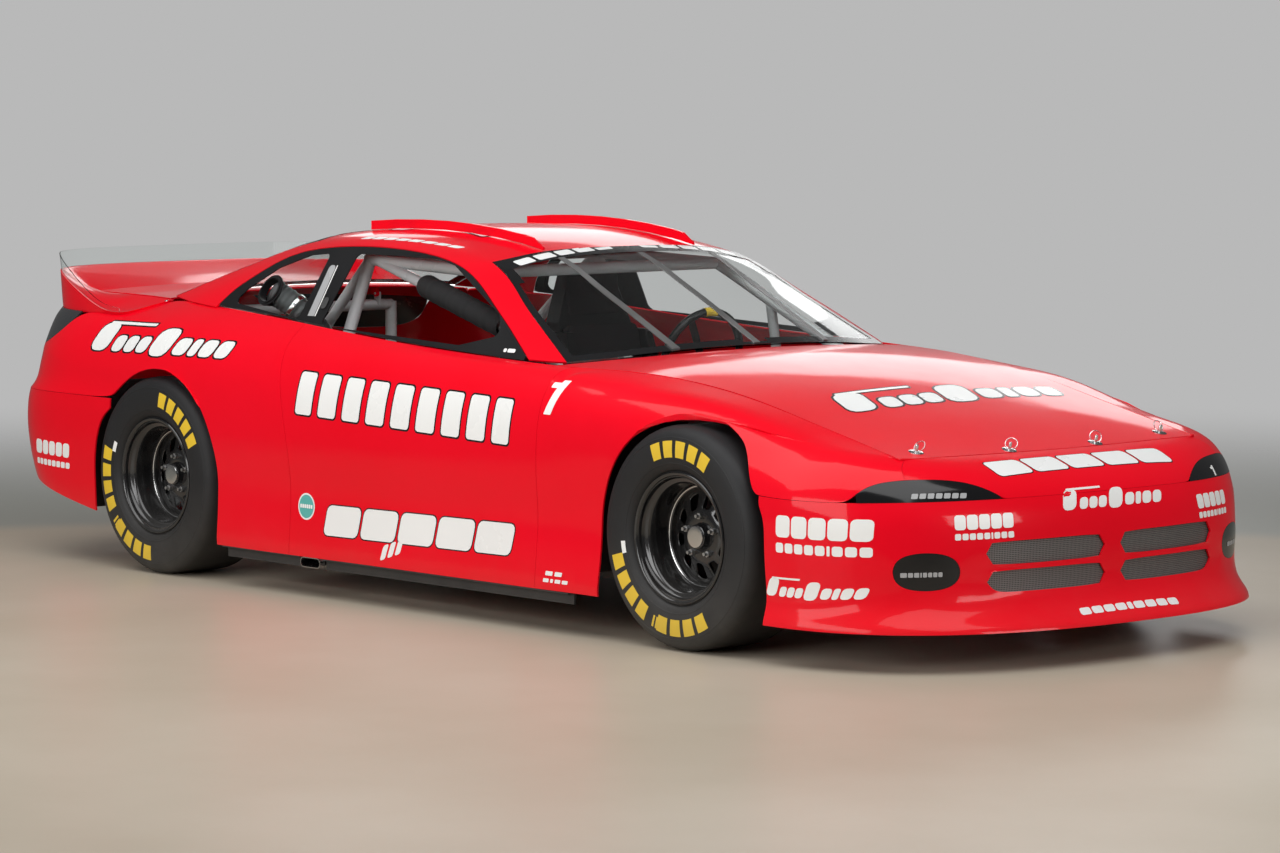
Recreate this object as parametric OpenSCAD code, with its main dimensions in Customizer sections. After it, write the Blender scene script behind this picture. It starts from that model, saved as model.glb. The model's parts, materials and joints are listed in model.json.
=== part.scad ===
// Round-track stock car: fibreglass body panels on a tube frame, with a hinged
// hood and deck lid, steered front wheels and four free-turning wheels.
// Lengths are millimetres. +X is forward, +Y is the car's left, +Z is up.
// The origin is on the ground, midway along the car. Body shapes are laid out
// from a datum on the ground under the front axle, X forward.

/* [Overall] */
// Distance between the front and rear axles
wheelbase = 2794; // [2500:1:3100]
// Splitter tip ahead of the front axle
front_overhang = 1070; // [950:5:1200]
// Tail behind the rear axle
rear_overhang = 1156; // [1000:1:1300]
// Width of the body across the doors
body_w = 1884; // [1600:2:2200]
// Height of the roof skin above the ground
roof_h = 1248; // [1100:1:1450]
// Thickness of a fibreglass body panel
skin_t = 6; // [3:0.5:10]
// Thickness of the window sheet
glass_t = 5; // [3:0.5:8]
// Gap between panels that are fixed side by side
seam = 0.7; // [0.4:0.1:0.9]
// Gap round a panel that opens
lid_gap = 5; // [5:0.5:8]
// Clearance of a turning fit, measured on the radius
fit_gap = 0.3; // [0.2:0.05:0.6]

/* [Wheels] */
// Outside diameter of a tyre
tyre_d = 704; // [640:2:740]
// Width of a tyre
tyre_w = 306; // [260:2:320]
// Distance between the middles of the left and right tyres
track = 1560; // [1500:2:1600]
// Diameter of the rim flange
rim_d = 414; // [380:2:450]
// Width of the rim between its flange faces
rim_w = 272; // [240:2:290]
// Diameter of the wheel's bore over the spindle
bore_d = 60; // [50:1:70]
// Number of slots in the wheel disc
slots = 10; // [6:1:12]

/* [Openings] */
// Room between a tyre and the front or rear of its arch
arch_room = 30; // [18:1:40]
// Highest point of the arches above the ground
arch_top = 734; // [700:1:740]
// How far each arch sits ahead of its axle
arch_lead = 24; // [0:1:40]
// Height of each grille opening
grille_h = 68; // [50:1:72]

/* [Frame and cabin] */
// Outside diameter of the roll cage tubes
cage_d = 44; // [38:1:50]
// Outside diameter of the padding on the cage
pad_d = 84; // [70:1:90]
// Height of the frame rails
rail_h = 100; // [80:1:110]
// Width of the frame rails
rail_w = 76; // [60:1:90]
// Underside of the frame rails above the ground
rail_z = 160; // [150:1:170]
// Thickness of the floor and the bulkheads
floor_t = 4; // [3:0.5:6]
// Diameter of the steering wheel
steer_d = 380; // [340:5:400]
// Width of the seat
seat_w = 460; // [460:10:540]
// Height of the clear strip above the spoiler
lip_h = 62; // [40:1:80]
// Height of the roof rails
roof_rail_h = 32; // [20:1:40]
// Depth of the rubber side skirts
skirt_h = 40; // [30:1:50]

/* [Hidden] */
$fn = 64;
// Sizes that the body lines are drawn at; each axis follows its driving size
drawn_base = 2794;
drawn_nose = 1070;
drawn_w = 1884;
drawn_roof = 1248;
drawn_tail = 3950;
base_scale = (wheelbase + rear_overhang) / drawn_tail;
nose_scale = front_overhang / drawn_nose;
wide = body_w / drawn_w;
tall = roof_h / drawn_roof;
length = front_overhang + wheelbase + rear_overhang;
datum_x = length / 2 - front_overhang;
tyre_r = tyre_d / 2;
wheel_y = track / 2;

// ---- Curves ----
function mix(a, b, t) = a + (b - a) * t;
function clamp01(t) = min(1, max(0, t));
function ease(t) = let (c = clamp01(t)) c * c * (3 - 2 * c);
function unit(v) = v / norm(v);
function steps(a, b, n) = [for (i = [0:n]) mix(a, b, i / n)];
// Cubic from p to q with end slopes m and n over a length of d
function hermite(p, q, m, n, d, t) =
    let (a = t * t * (3 - 2 * t), b = t * (1 - t) * (1 - t), c = t * t * (t - 1))
    mix(p, q, a) + (m * b + n * c) * d;
// Smooth curve through values v at the places k, level or sloped at its ends
function span(k, x, i = 1) = i >= len(k) - 1 || x < k[i] ? i - 1 : span(k, x, i + 1);
function slope(k, v, i) = i == 0 ? (v[1] - v[0]) / (k[1] - k[0])
    : i == len(k) - 1 ? (v[i] - v[i - 1]) / (k[i] - k[i - 1])
    : (v[i + 1] - v[i - 1]) / (k[i + 1] - k[i - 1]);
function curve(k, v, x, level = false) =
    let (i = span(k, x), d = k[i + 1] - k[i], t = (x - k[i]) / d,
        m = level && i == 0 ? 0 : slope(k, v, i),
        n = level && i == len(k) - 2 ? 0 : slope(k, v, i + 1))
    hermite(v[i], v[i + 1], m, n, d, t);

// ---- Body lines ----
// Stations along the side, from the datum; the nose and tail wrap round beyond them
stations = [-3250, -2800, -2400, -1500, -700, -350, 0, 400];
wrap_nose = 400;
wrap_tail = -3250;
// Each line: heights and half-breadths at the stations, the nose's reach and
// height on the centreline, and the tail's reach and height there
lines = [
    [[215, 150, 140, 140, 140, 140, 130, 122], [925, 935, 940, 940, 940, 938, 935, 933], [1070, 120], [-3880, 345]],
    [[232, 170, 165, 165, 165, 165, 150, 138], [928, 937, 942, 942, 942, 940, 936, 932], [1066, 137], [-3892, 362]],
    [[290, 245, 240, 240, 240, 235, 210, 185], [930, 937, 937, 935, 935, 930, 925, 916], [1000, 180], [-3918, 400]],
    [[345, 325, 320, 320, 320, 310, 270, 235], [932, 938, 934, 930, 928, 922, 922, 918], [975, 228], [-3932, 435]],
    [[400, 400, 385, 375, 375, 380, 345, 310], [934, 939, 934, 929, 926, 920, 924, 925], [972, 308], [-3945, 475]],
    [[470, 470, 440, 430, 430, 440, 420, 395], [936, 940, 937, 936, 930, 922, 926, 928], [968, 392], [-3950, 520]],
    [[540, 540, 510, 500, 500, 505, 480, 455], [935, 940, 940, 942, 936, 925, 928, 927], [958, 455], [-3945, 565]],
    [[615, 610, 580, 570, 570, 570, 535, 510], [930, 937, 938, 940, 936, 928, 928, 922], [935, 510], [-3925, 615]],
    [[660, 660, 650, 650, 650, 640, 600, 552], [915, 930, 932, 933, 932, 927, 922, 908], [905, 548], [-3890, 640]],
    [[740, 735, 730, 735, 735, 710, 670, 595], [900, 918, 920, 915, 915, 915, 905, 882], [862, 580], [-3875, 720]],
    [[830, 820, 800, 805, 795, 765, 735, 640], [865, 885, 890, 885, 880, 880, 872, 848], [822, 602], [-3862, 820]],
    [[905, 890, 870, 850, 835, 805, 775, 678], [805, 830, 842, 845, 838, 825, 808, 780], [780, 615], [-3850, 915]],
    [[968, 958, 940, 876, 843, 832, 788, 700], [640, 706, 752, 786, 786, 705, 668, 660], [740, 622], [-3560, 972]]];
top_line = len(lines) - 1;
seam_line = 7;
nose_power = [2.5, 2.5, 2.6, 2.6, 2.6, 2.6, 2.6, 2.6, 2.7, 2.9, 3.2, 3.6];
tail_power = 3.2;
hood_sweep = 28;
hood_crown = [38, 30, 24, 22, 3];
hood_crown_at = [-700, -350, 0, 400, 740];
deck_crown = 16;

function side_y(j, x) = curve(stations, lines[j][1], x, true);
function side_z(j, x) = x > wrap_nose
    ? curve([0, wrap_nose, lines[j][2][0]], [lines[j][0][6], lines[j][0][7], lines[j][2][1]], x)
    : x < wrap_tail
    ? curve([lines[j][3][0], wrap_tail, -2800], [lines[j][3][1], lines[j][0][0], lines[j][0][1]], x)
    : curve(stations, lines[j][0], x);
// The top line is the edge of the hood, the belt and the edge of the deck lid
function edge_y(x) = side_y(top_line, min(wrap_nose, max(wrap_tail, x)));
function crown(x) = x > -900 ? curve(hood_crown_at, hood_crown, x) : deck_crown;
function lid_z(x, y) = side_z(top_line, x) + crown(x) * (1 - pow(abs(y) / edge_y(x), 2));
function lid_corner(angle, y, front, corner, start) = angle < 45
    ? let (q = angle / 45) [front + (corner - front) * q * q, y * q]
    : [mix(corner, start, (angle - 45) / 45), y];
// Point on line j. Station u runs from 0 at wrap_tail to 1 at wrap_nose, on to 2
// at the middle of the nose, and back to -1 at the middle of the tail
function on_line(j, u) =
    let (nose = u > 1, wrap = nose || u < 0,
        angle = nose ? 90 * (2 - u) : 90 * (1 + u),
        start = nose ? wrap_nose : wrap_tail,
        reach = nose ? lines[j][2][0] : lines[j][3][0])
    !wrap ? let (x = mix(wrap_tail, wrap_nose, u)) [x, -side_y(j, x), side_z(j, x)]
    : j == top_line
    ? let (c = lid_corner(angle, edge_y(start), reach, nose ? reach - hood_sweep : reach, start))
        [c.x, -c.y, lid_z(c.x, c.y)]
    : let (p = nose ? nose_power[j] : tail_power,
        c = max(0, cos(angle)), s = max(0, sin(angle)), r = pow(pow(c, p) + pow(s, p), 1 / p),
        x = start + (reach - start) * c / r)
        [x, -side_y(j, start) * s / r, side_z(j, x)];
// Point on the body skin at station u and level t, t being 0 to top_line
function skin(u, t) =
    let (j = min(top_line - 1, max(0, floor(t))), f = t - j,
        p = on_line(j, u), q = on_line(j + 1, u), d = norm(q - p),
        before = j > 0 ? on_line(j - 1, u) : 2 * p - q,
        after = j < top_line - 1 ? on_line(j + 2, u) : 2 * q - p)
    hermite(p, q, (q - before) / (d + norm(p - before)),
        (after - p) / (d + norm(after - q)), d, f);
function u_of(x) = (x - wrap_tail) / (wrap_nose - wrap_tail);
function level_of(x, z, j = 0) = j >= top_line - 1 || z < side_z(j + 1, x)
    ? j + (z - side_z(j, x)) / (side_z(j + 1, x) - side_z(j, x)) : level_of(x, z, j + 1);

// ---- Greenhouse lines, front to rear, from the side glass up to the centreline ----
glass_y = 790;
glass_z = 860;
glass_lean = 0.58;
function leaned(z) = glass_y - glass_lean * (z - glass_z);
pillar_line = [for (p = [[-867, 858], [-1110, 995], [-1420, 1140], [-1850, 1187], [-2300, 1160], [-2560, 1045], [-2668, 952]])
    [p[0], -leaned(p[1]), p[1]]];
cant_line = [[-768, -715, 850], [-1050, -638, 1000], [-1340, -557, 1150], [-1830, -525, 1215], [-2330, -530, 1190],
    [-2680, -590, 1090], [-3030, -650, 973]];
rail_line = [[-650, -337, 878], [-990, -340, 1042], [-1318, -341, 1182], [-1830, -350, 1238], [-2370, -360, 1215],
    [-2720, -360, 1117], [-3078, -360, 990]];
spine_line = [[-626, 0, 885], [-970, 0, 1056], [-1302, 0, 1190], [-1830, 0, 1248], [-2380, 0, 1225],
    [-2740, 0, 1127], [-3092, 0, 996]];
house_lines = [pillar_line, cant_line, rail_line, spine_line];
places = [0, 1, 2, 3, 4, 5, 6];
function house_point(k, w) = [for (c = [0:2]) curve(places, [for (p = house_lines[k]) p[c]], w)];
// Point on the greenhouse at place w, 0 to 6 front to rear, and v, 0 at the right
// side glass, 3 on the centreline and 6 at the left side glass
function house(w, v) = v > 3 ? let (p = house(w, 6 - v)) [p.x, -p.y, p.z]
    : let (k = min(2, max(0, floor(v))), f = v - k, p = house_point(k, w), q = house_point(k + 1, w),
        d = norm(q - p), before = k > 0 ? house_point(k - 1, w) : 2 * p - q,
        flat = house_point(2, w),
        after = k < 2 ? house_point(k + 2, w) : [flat.x, -flat.y, flat.z])
    hermite(p, q, (q - before) / (d + norm(p - before)), (after - p) / (d + norm(after - q)), d, f);

// ---- Panels ----
// Points are moved to the size that the driving dimensions ask for
function sized(p) = [p.x * (p.x > 0 ? nose_scale : base_scale), p.y * wide, p.z * tall];
nudge = 0.004;
function facing(f, a, b) =
    unit(cross(sized(f(a + nudge, b)) - sized(f(a - nudge, b)), sized(f(a, b + nudge)) - sized(f(a, b - nudge))));
function flipped(faces) = [for (t = faces) [t[2], t[1], t[0]]];
function total(list, n) = n == 0 ? 0 : list[n - 1] + total(list, n - 1);
function quad(a, b, c, d) = [[a, b, c], [a, c, d]];
// A panel over the grid a x b of surface f. keep(i, j) is 1 for a cell of skin, 0
// for none, and 2 where a hole's ring stands in. A hole is [i0, i1, j0, j1, middle,
// half sizes, power]. side is 1 where a cross b faces out, and -1 where it faces in
module panel(f, a, b, t, side = 1, keep = function (i, j) 1, holes = []) {
    n = len(a);
    m = len(b);
    rims = [for (h = holes) concat(
        [for (j = [h[2]:h[3] - 1]) [h[0], j]], [for (i = [h[0]:h[1] - 1]) [i, h[3]]],
        [for (j = [h[3]:-1:h[2] + 1]) [h[1], j]], [for (i = [h[1]:-1:h[0] + 1]) [i, h[2]]])];
    ring_at = [for (k = [0:max(0, len(holes) - 1)]) len(holes) == 0 ? []
        : let (h = holes[k], ca = (a[h[0]] + a[h[1]]) / 2, cb = (b[h[2]] + b[h[3]]) / 2,
            wa = (a[h[1]] - a[h[0]]) / 2, wb = (b[h[3]] - b[h[2]]) / 2)
        [for (r = rims[k]) let (s = (a[r[0]] - ca) / wa, v = (b[r[1]] - cb) / wb,
            g = pow(pow(abs(s), h[6]) + pow(abs(v), h[6]), -1 / h[6]))
            [h[4][0] + h[5][0] * s * g, h[4][1] + h[5][1] * v * g]]];
    spots = concat([for (x = a, y = b) [x, y]], [for (r = ring_at, p = r) p]);
    outer = [for (p = spots) sized(f(p[0], p[1]))];
    inner = [for (i = [0:len(spots) - 1]) outer[i] - side * t * facing(f, spots[i][0], spots[i][1])];
    size = len(spots);
    starts = [for (k = [0:len(rims)]) n * m + total([for (r = rims) len(r)], k)];
    at = function (i, j) i * m + j;
    state = function (i, j) i < 0 || j < 0 || i > n - 2 || j > m - 2 ? 0 : keep(i, j);
    cells = [for (i = [0:n - 2], j = [0:m - 2]) if (state(i, j) == 1) [i, j]];
    top = [for (c = cells) each let (i = c[0], j = c[1])
        quad(at(i, j), at(i, j + 1), at(i + 1, j + 1), at(i + 1, j))];
    ring = [for (k = [0:len(rims) - 1]) each let (base = starts[k], c = len(rims[k]))
        [for (e = [0:c - 1]) each let (o = rims[k][e], o2 = rims[k][(e + 1) % c], h = base + e, h2 = base + (e + 1) % c)
            quad(at(o[0], o[1]), at(o2[0], o2[1]), h2, h)]];
    edges = concat([for (c = cells) each let (i = c[0], j = c[1]) concat(
            state(i - 1, j) == 0 ? [[at(i, j), at(i, j + 1)]] : [],
            state(i, j + 1) == 0 ? [[at(i, j + 1), at(i + 1, j + 1)]] : [],
            state(i + 1, j) == 0 ? [[at(i + 1, j + 1), at(i + 1, j)]] : [],
            state(i, j - 1) == 0 ? [[at(i + 1, j), at(i, j)]] : [])],
        [for (k = [0:len(rims) - 1]) each let (base = starts[k], c = len(rims[k]))
            [for (e = [0:c - 1]) [base + (e + 1) % c, base + e]]]);
    skin_faces = concat(top, ring);
    walls = [for (e = edges) each [[e[1], e[0], e[0] + size], [e[1], e[0] + size, e[1] + size]]];
    faces = concat(skin_faces, [for (q = skin_faces) [q[2] + size, q[1] + size, q[0] + size]], walls);
    polyhedron(concat(outer, inner), side > 0 ? faces : flipped(faces), convexity = 6);
}
module at_datum() translate([datum_x, 0, 0]) children();
module both() {
    children();
    mirror([0, 1, 0]) children();
}
// A round bar from p to q that runs over its ends
module bar(p, q, d, over = 0) {
    v = q - p;
    translate(p - over * unit(v)) rotate([0, acos(v.z / norm(v)), atan2(v.y, v.x)])
        cylinder(h = norm(v) + 2 * over, d = d);
}
module block(low, high) translate(low) cube(high - low);

// ---- Seams and openings of the body ----
paint = "#d8121b";
black = "#17181a";
steel = "#8d9094";
gap_u = 0.0002;
corner_gap_u = 0.0008;
gap_t = 0.02;
tail_gap_t = 0.03;
lamp_gap_t = 0.009;
gap_w = 0.003;
door_front = -662;
door_rear = -1970;
door_lean = 130;
corner_angle = 45;
lamp_angles = [25.3, 60.3];
lamp_rise = 1.75;
tail_lamp_angles = [20, 77];
tail_lamp_drop = 1.5;
spoiler_from = -2960;
spoiler_full = -3160;
arch_half = tyre_r + arch_room;
arch_rise = arch_top - tyre_r;
function drawn_x(x) = x / (x > 0 ? nose_scale : base_scale);
// Edge of an arch at height z: ahead is 1 for its front edge and -1 for its rear
function arch_x(axle, z, ahead) = let (s = clamp01((z * tall - tyre_r) / arch_rise))
    drawn_x(axle + arch_lead + ahead * arch_half * sqrt(1 - s * s));
front_axle = 0;
back_axle = -wheelbase;
function end_angle(z) = asin(clamp01((z * tall - tyre_r) / arch_rise));
function arch_spot(axle, angle) =
    let (x = drawn_x(axle + arch_lead + arch_half * cos(angle)), z = (tyre_r + arch_rise * sin(angle)) / tall)
    [u_of(x), level_of(x, z)];
function leg_spot(axle, ahead, f) =
    let (x = drawn_x(axle + arch_lead + ahead * arch_half)) [u_of(x), f * level_of(x, tyre_r / tall)];
function bump(u, angles, wrap_angle) =
    let (p = (wrap_angle - angles[0]) / (angles[1] - angles[0]))
    p <= 0 || p >= 1 ? 0 : 1 - pow(abs(2 * p - 1), 3);
// Lower edge of the nose panel and fenders, which lifts over the headlamps
function low_level(u) = seam_line + gap_t + lamp_rise * bump(u, lamp_angles, 90 * (2 - u));
// Upper edge of the body under the spoiler, and the same edge dropped round the tail lamps
function rim_level(u) = let (x = mix(wrap_tail, wrap_nose, u))
    top_line - ease((spoiler_from - x) / (spoiler_from - spoiler_full));
function high_level(u) = rim_level(u) - tail_lamp_drop * bump(u, tail_lamp_angles, 90 * (1 + u));
function door_edge(t) = door_rear - door_lean * ease((t - 5) / 7);
corner_u = 2 - corner_angle / 90;
tail_u = corner_angle / 90 - 1;

// Stations that neighbouring panels share, so that their edges run alike. The side
// list goes from the tail's corner forward; angles are measured round the ends
rim_angles = [45:5:85];
rim_places = [-3250, -3160, -3110, -3060, -3010, -2960];
rim_stations = concat([for (a = rim_angles) a / 90 - 1], [for (x = rim_places) u_of(x)],
    [for (i = [1:4]) mix(u_of(-2960), u_of(door_edge(top_line)) - gap_u, i / 4)]);
panel_steps = 34;
fender_rise = 7 / panel_steps;
fender_up = 12 / panel_steps;
fender_over = 29 / panel_steps;
fender_across = [0, 0.2, 0.4, 0.55, 0.66, 0.72, 0.79, 0.88, 1];
quarter_across = [0, 0.17, 0.34, 0.5, 0.64, 0.76, 0.88, 1];
quarter_rise = 4 / panel_steps;
quarter_down = 22 / panel_steps;
quarter_drop = 27 / panel_steps;
function listed(list, s) = let (i = min(len(list) - 2, max(0, floor(s)))) mix(list[i], list[i + 1], s - i);
function fender_at(k, m) =
    let (rise = fender_rise, inner = k < rise ? leg_spot(front_axle, -1, k / rise)
            : arch_spot(front_axle, mix(180, end_angle(side_z(seam_line, 370)), (k - rise) / (1 - rise))),
        up = fender_up, over = fender_over, back = u_of(door_front) + gap_u,
        outer = k < up ? [back, top_line * k / up]
            : k < over ? [mix(back, corner_u - corner_gap_u, (k - up) / (over - up)), top_line]
              : [corner_u - corner_gap_u, mix(top_line, low_level(corner_u), (k - over) / (1 - over))],
        u = mix(inner[0], outer[0], m), t = mix(inner[1], outer[1], m))
    skin(u, t + ease((k - over) / (1 - over)) * (low_level(u) - t));
function quarter_at(k, m) =
    let (drop = quarter_drop, seam_z = side_z(seam_line, -3000), inner = k < drop
            ? arch_spot(back_axle, mix(180 - end_angle(seam_z), 0, k / drop))
            : leg_spot(back_axle, 1, (1 - k) / (1 - drop)),
        rise = quarter_rise, down = quarter_down, first = tail_u + corner_gap_u,
        outer = k < rise ? [first, mix(seam_line + tail_gap_t, high_level(first), k / rise)]
            : k < down ? let (s = (k - rise) * panel_steps, u = s < 1 ? mix(first, rim_stations[1], s) : listed(rim_stations, s))
                [u, high_level(u)]
            : let (t = top_line * (1 - k) / (1 - down)) [u_of(door_edge(t)) - gap_u, t],
        t = mix(inner[1], outer[1], m))
    skin(mix(inner[0], outer[0], m), k < rise ? max(seam_line + tail_gap_t, t) : t);
function mirror_y(p, left) = left ? [p.x, -p.y, p.z] : p;
// Round the nose from the right side (-90) to the left, its ends on the arches
function nose_at(angle, t) =
    let (side = abs(angle), z = side_z(min(seam_line, round(t)), wrap_nose),
        edge = u_of(arch_x(front_axle, z, 1)), shift = (2 - edge) * 90 - 90,
        turn = side + (side > 66 ? shift * ease((side - 66) / 24) : 0))
    mirror_y(skin(2 - turn / 90, t), angle > 0);
// Round the tail from the left side (-90) to the right
function tail_at(angle, t) =
    let (side = abs(angle), z = side_z(min(seam_line, round(t)), wrap_tail),
        edge = u_of(arch_x(back_axle, z, -1)), shift = (1 + edge) * 90 - 90,
        turn = side + (side > 66 ? shift * ease((side - 66) / 24) : 0))
    mirror_y(skin(turn / 90 - 1, t), angle < 0);
// A round-cornered patch of surface f: s and v run from -1 to 1
function patch(f, mid, half, power, s, v) =
    let (big = max(abs(s), abs(v)), g = big / pow(pow(abs(s), power) + pow(abs(v), power) + 1e-9, 1 / power))
    f(mid[0] + half[0] * s * g, mid[1] + half[1] * v * g);
function mirrored_steps(list) = concat([for (i = [len(list) - 1:-1:1]) -list[i]], list);

// ---- Body ----
grille_mid = 16.4;
grille_half = 14.3;
grille_low = 3.46;
grille_high = 4.5;
grille_t = grille_h / 162;
fog_mid = [43.3, 3.92];
fog_half = [7.3, 0.72];
// First and last grid lines of a hole's ring, on the right of the nose
fog_cells = [[6, 10], [3, 7]];
// Grid lines first to last of a list, brought to the range -1 to 1
function across_hole(list, cells) = let (low = list[cells[0]], high = list[cells[1]])
    [for (i = [cells[0]:cells[1]]) (2 * list[i] - low - high) / (high - low)];
nose_steps = mirrored_steps([0, 5.5, 11, 16.5, 22, 27.5, 33, 38.2, 43.5, 48.8, 54, 60, 66, 72, 78, 84, 90]);
nose_levels = [0, 1, 1.7, 2.4, 3.2, 3.98, 4.7, 5.4, 6, 6.5, seam_line];
module front_bumper() color(paint) at_datum() {
    mid = 16;
    low = function (s) [mid + (s > 0 ? 0 : -6), mid + (s > 0 ? 6 : 0), 3, 5, [s * grille_mid, grille_low], [grille_half, grille_t], 7];
    high = function (s) [mid + (s > 0 ? 0 : -6), mid + (s > 0 ? 6 : 0), 5, 7, [s * grille_mid, grille_high], [grille_half, grille_t], 7];
    fog = function (s) [mid + (s > 0 ? 6 : -10), mid + (s > 0 ? 10 : -6), 3, 7, [s * fog_mid[0], fog_mid[1]], fog_half, 2.3];
    holes = [for (s = [-1, 1]) each [low(s), high(s), fog(s)]];
    panel(nose_at_f, nose_steps, nose_levels, skin_t, 1,
        function (i, j) len([for (h = holes) if (i >= h[0] && i < h[1] && j >= h[2] && j < h[3]) 1]) > 0 ? 2 : 1, holes);
}
nose_at_f = function (a, b) nose_at(a, b);
tail_at_f = function (a, b) tail_at(a, b);
nose_lamp_angles = [26, 26.7, 28.5, 31, 34, 37.5, 41];
nose_panel_angles = mirrored_steps(concat([0, 4, 8, 12, 16, 20, 23, lamp_angles[0]], nose_lamp_angles, [corner_angle]));
// Where the fender's rows end on its edge over the headlamp, round to the nose's corner
lamp_start = arch_spot(front_axle, end_angle(side_z(seam_line, 370)))[0];
fender_lamp_angles = [for (m = fender_across) let (a = 90 * (2 - mix(lamp_start, corner_u - corner_gap_u, m)))
    if (a < lamp_angles[1]) a];
nose_panel_rows = [for (i = [5:-1:0]) (1 - i / 5) * (1 - ease(i / 5))];
module nose_panel() color(paint) at_datum()
    panel(function (a, q) let (u = 2 - abs(a) / 90) mirror_y(skin(u, mix(low_level(u), top_line, q)), a > 0),
        nose_panel_angles, nose_panel_rows, skin_t);
module light_covers() color(black) at_datum() both() {
    panel(function (a, q) let (u = 2 - a / 90) skin(u, mix(seam_line + gap_t, low_level(u) - 2 * lamp_gap_t, q)),
        concat(nose_lamp_angles, [for (i = [len(fender_lamp_angles) - 1:-1:0]) fender_lamp_angles[i]]),
        steps(0, 1, 4), skin_t, -1);
    panel(function (s, v) patch(nose_at_f, [-fog_mid[0], fog_mid[1]], fog_half * 0.985, 2.3, s, v),
        across_hole(nose_steps, fog_cells[0]), across_hole(nose_levels, fog_cells[1]), skin_t);
}
module grille_mesh() color("#55585a") at_datum()
    panel(function (a, t) nose_at(a, t) - [skin_t + 2, 0, 0], steps(-32, 32, 16), steps(2.8, 5.1, 5), 2);
hood_back = -598;
hood_bow = 136;
module hood() color(paint) at_datum() {
    hood_lugs();
    panel(function (p, q) let (
            x = mix(hood_back - hood_bow * pow(abs(q), 2.5), lines[top_line][2][0] - hood_sweep * q * q - lid_gap, p),
            y = q * (edge_y(x) - lid_gap)) [x, y, lid_z(x, y)],
        steps(0, 1, 18), steps(-1, 1, 16), skin_t);
}
module fenders() color(paint) at_datum() both()
    panel(function (k, m) fender_at(k, m), steps(0, 1, panel_steps), fender_across, skin_t);
module doors() color(paint) at_datum() both()
    panel(function (p, t) skin(mix(u_of(door_edge(t)) + gap_u, u_of(door_front) - gap_u, p), t),
        steps(0, 1, 12), steps(0, top_line, top_line), skin_t);
module quarter_panels() color(paint) at_datum() both()
    panel(function (k, m) quarter_at(k, m), steps(0, 1, panel_steps), quarter_across, skin_t);
house_f = function (w, v) house(w, v);
module roof() color(paint) at_datum()
    panel(house_f, steps(0, 6, 24), [0, 0.5, 1, 1.5, 2, 2.5, 3, 3.5, 4, 4.5, 5, 5.5, 6], skin_t, -1,
        function (i, j) j < 2 || j > 9 || (i >= 8 && i < 16) ? 1 : 0);
screen_steps = steps(0, 2 - gap_w, 10);
module windscreen() color("#33403d", 0.45) at_datum()
    panel(house_f, screen_steps, steps(1 + gap_w, 5 - gap_w, 12), glass_t, -1);
module rear_window() color("#33403d", 0.45) at_datum()
    panel(house_f, steps(4 + gap_w, 6, 10), steps(1 + gap_w, 5 - gap_w, 12), glass_t, -1);
strip_w = 26;
strip_t = 4;
module windscreen_strips() color(steel) at_datum() for (v = [2, 3, 4])
    panel(function (w, s) let (y = s * strip_w / 2 / 340) house(w, v + y) - facing(house_f, w, v + y) * (strip_t + 0.6),
        [for (i = [0:9]) screen_steps[i] + (i == 0 ? 0.02 : 0)], [-1, 1], strip_t, -1);
module deck_lid() color(paint) at_datum() {
    lid_lugs();
    panel(function (p, q) let (x = mix(-3122 + 58 * q * q, lines[top_line][3][0] + lid_gap, p), y = q * (edge_y(x) - lid_gap))
            [x, y, lid_z(x, y)], steps(0, 1, 8), steps(-1, 1, 14), skin_t, -1);
}
tail_lamp_steps = [20.8, 23, 26, 30, 35, 40, 45];
tail_panel_angles = mirrored_steps(concat([0, 5, 10, 15, tail_lamp_angles[0]], tail_lamp_steps));
tail_steps = mirrored_steps([0, 5, 10, 15, 20, 26, 30, 35, 40, 45, 50, 56, 62, 68, 74, 82, 90]);
module rear_bumper() color(paint) at_datum()
    panel(tail_at_f, tail_steps, [0, 1, 2, 3, 4, 5, 6, 6.5, seam_line], skin_t);
module tail_panel() color(paint) at_datum()
    panel(function (a, q) let (u = abs(a) / 90 - 1) mirror_y(skin(u, mix(seam_line + tail_gap_t, high_level(u), q)), a < 0),
        tail_panel_angles, steps(0, 1, 4), skin_t);
module tail_light_covers() color("#3a3c3f") at_datum() both() {
    panel(function (a, q) let (u = a / 90 - 1) skin(u, mix(high_level(u) + lamp_gap_t, rim_level(u) - lamp_gap_t, q)),
        concat(tail_lamp_steps, [50, 55, 60, 65, 70, 75]), steps(0, 1, 4), skin_t);
}

// A closed solid through rings of points, each ring anticlockwise about the way along
module loft(rings) {
    n = len(rings[0]);
    last = len(rings) - 1;
    walls = [for (i = [0:last - 1], k = [0:n - 1]) each let (j = (k + 1) % n)
        quad(i * n + k, (i + 1) * n + k, (i + 1) * n + j, i * n + j)];
    ends = [for (k = [1:n - 2]) each [[0, k, k + 1], [last * n + k + 1, last * n + k, last * n]]];
    polyhedron([for (r = rings, p = r) p], concat(walls, ends), convexity = 6);
}

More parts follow.
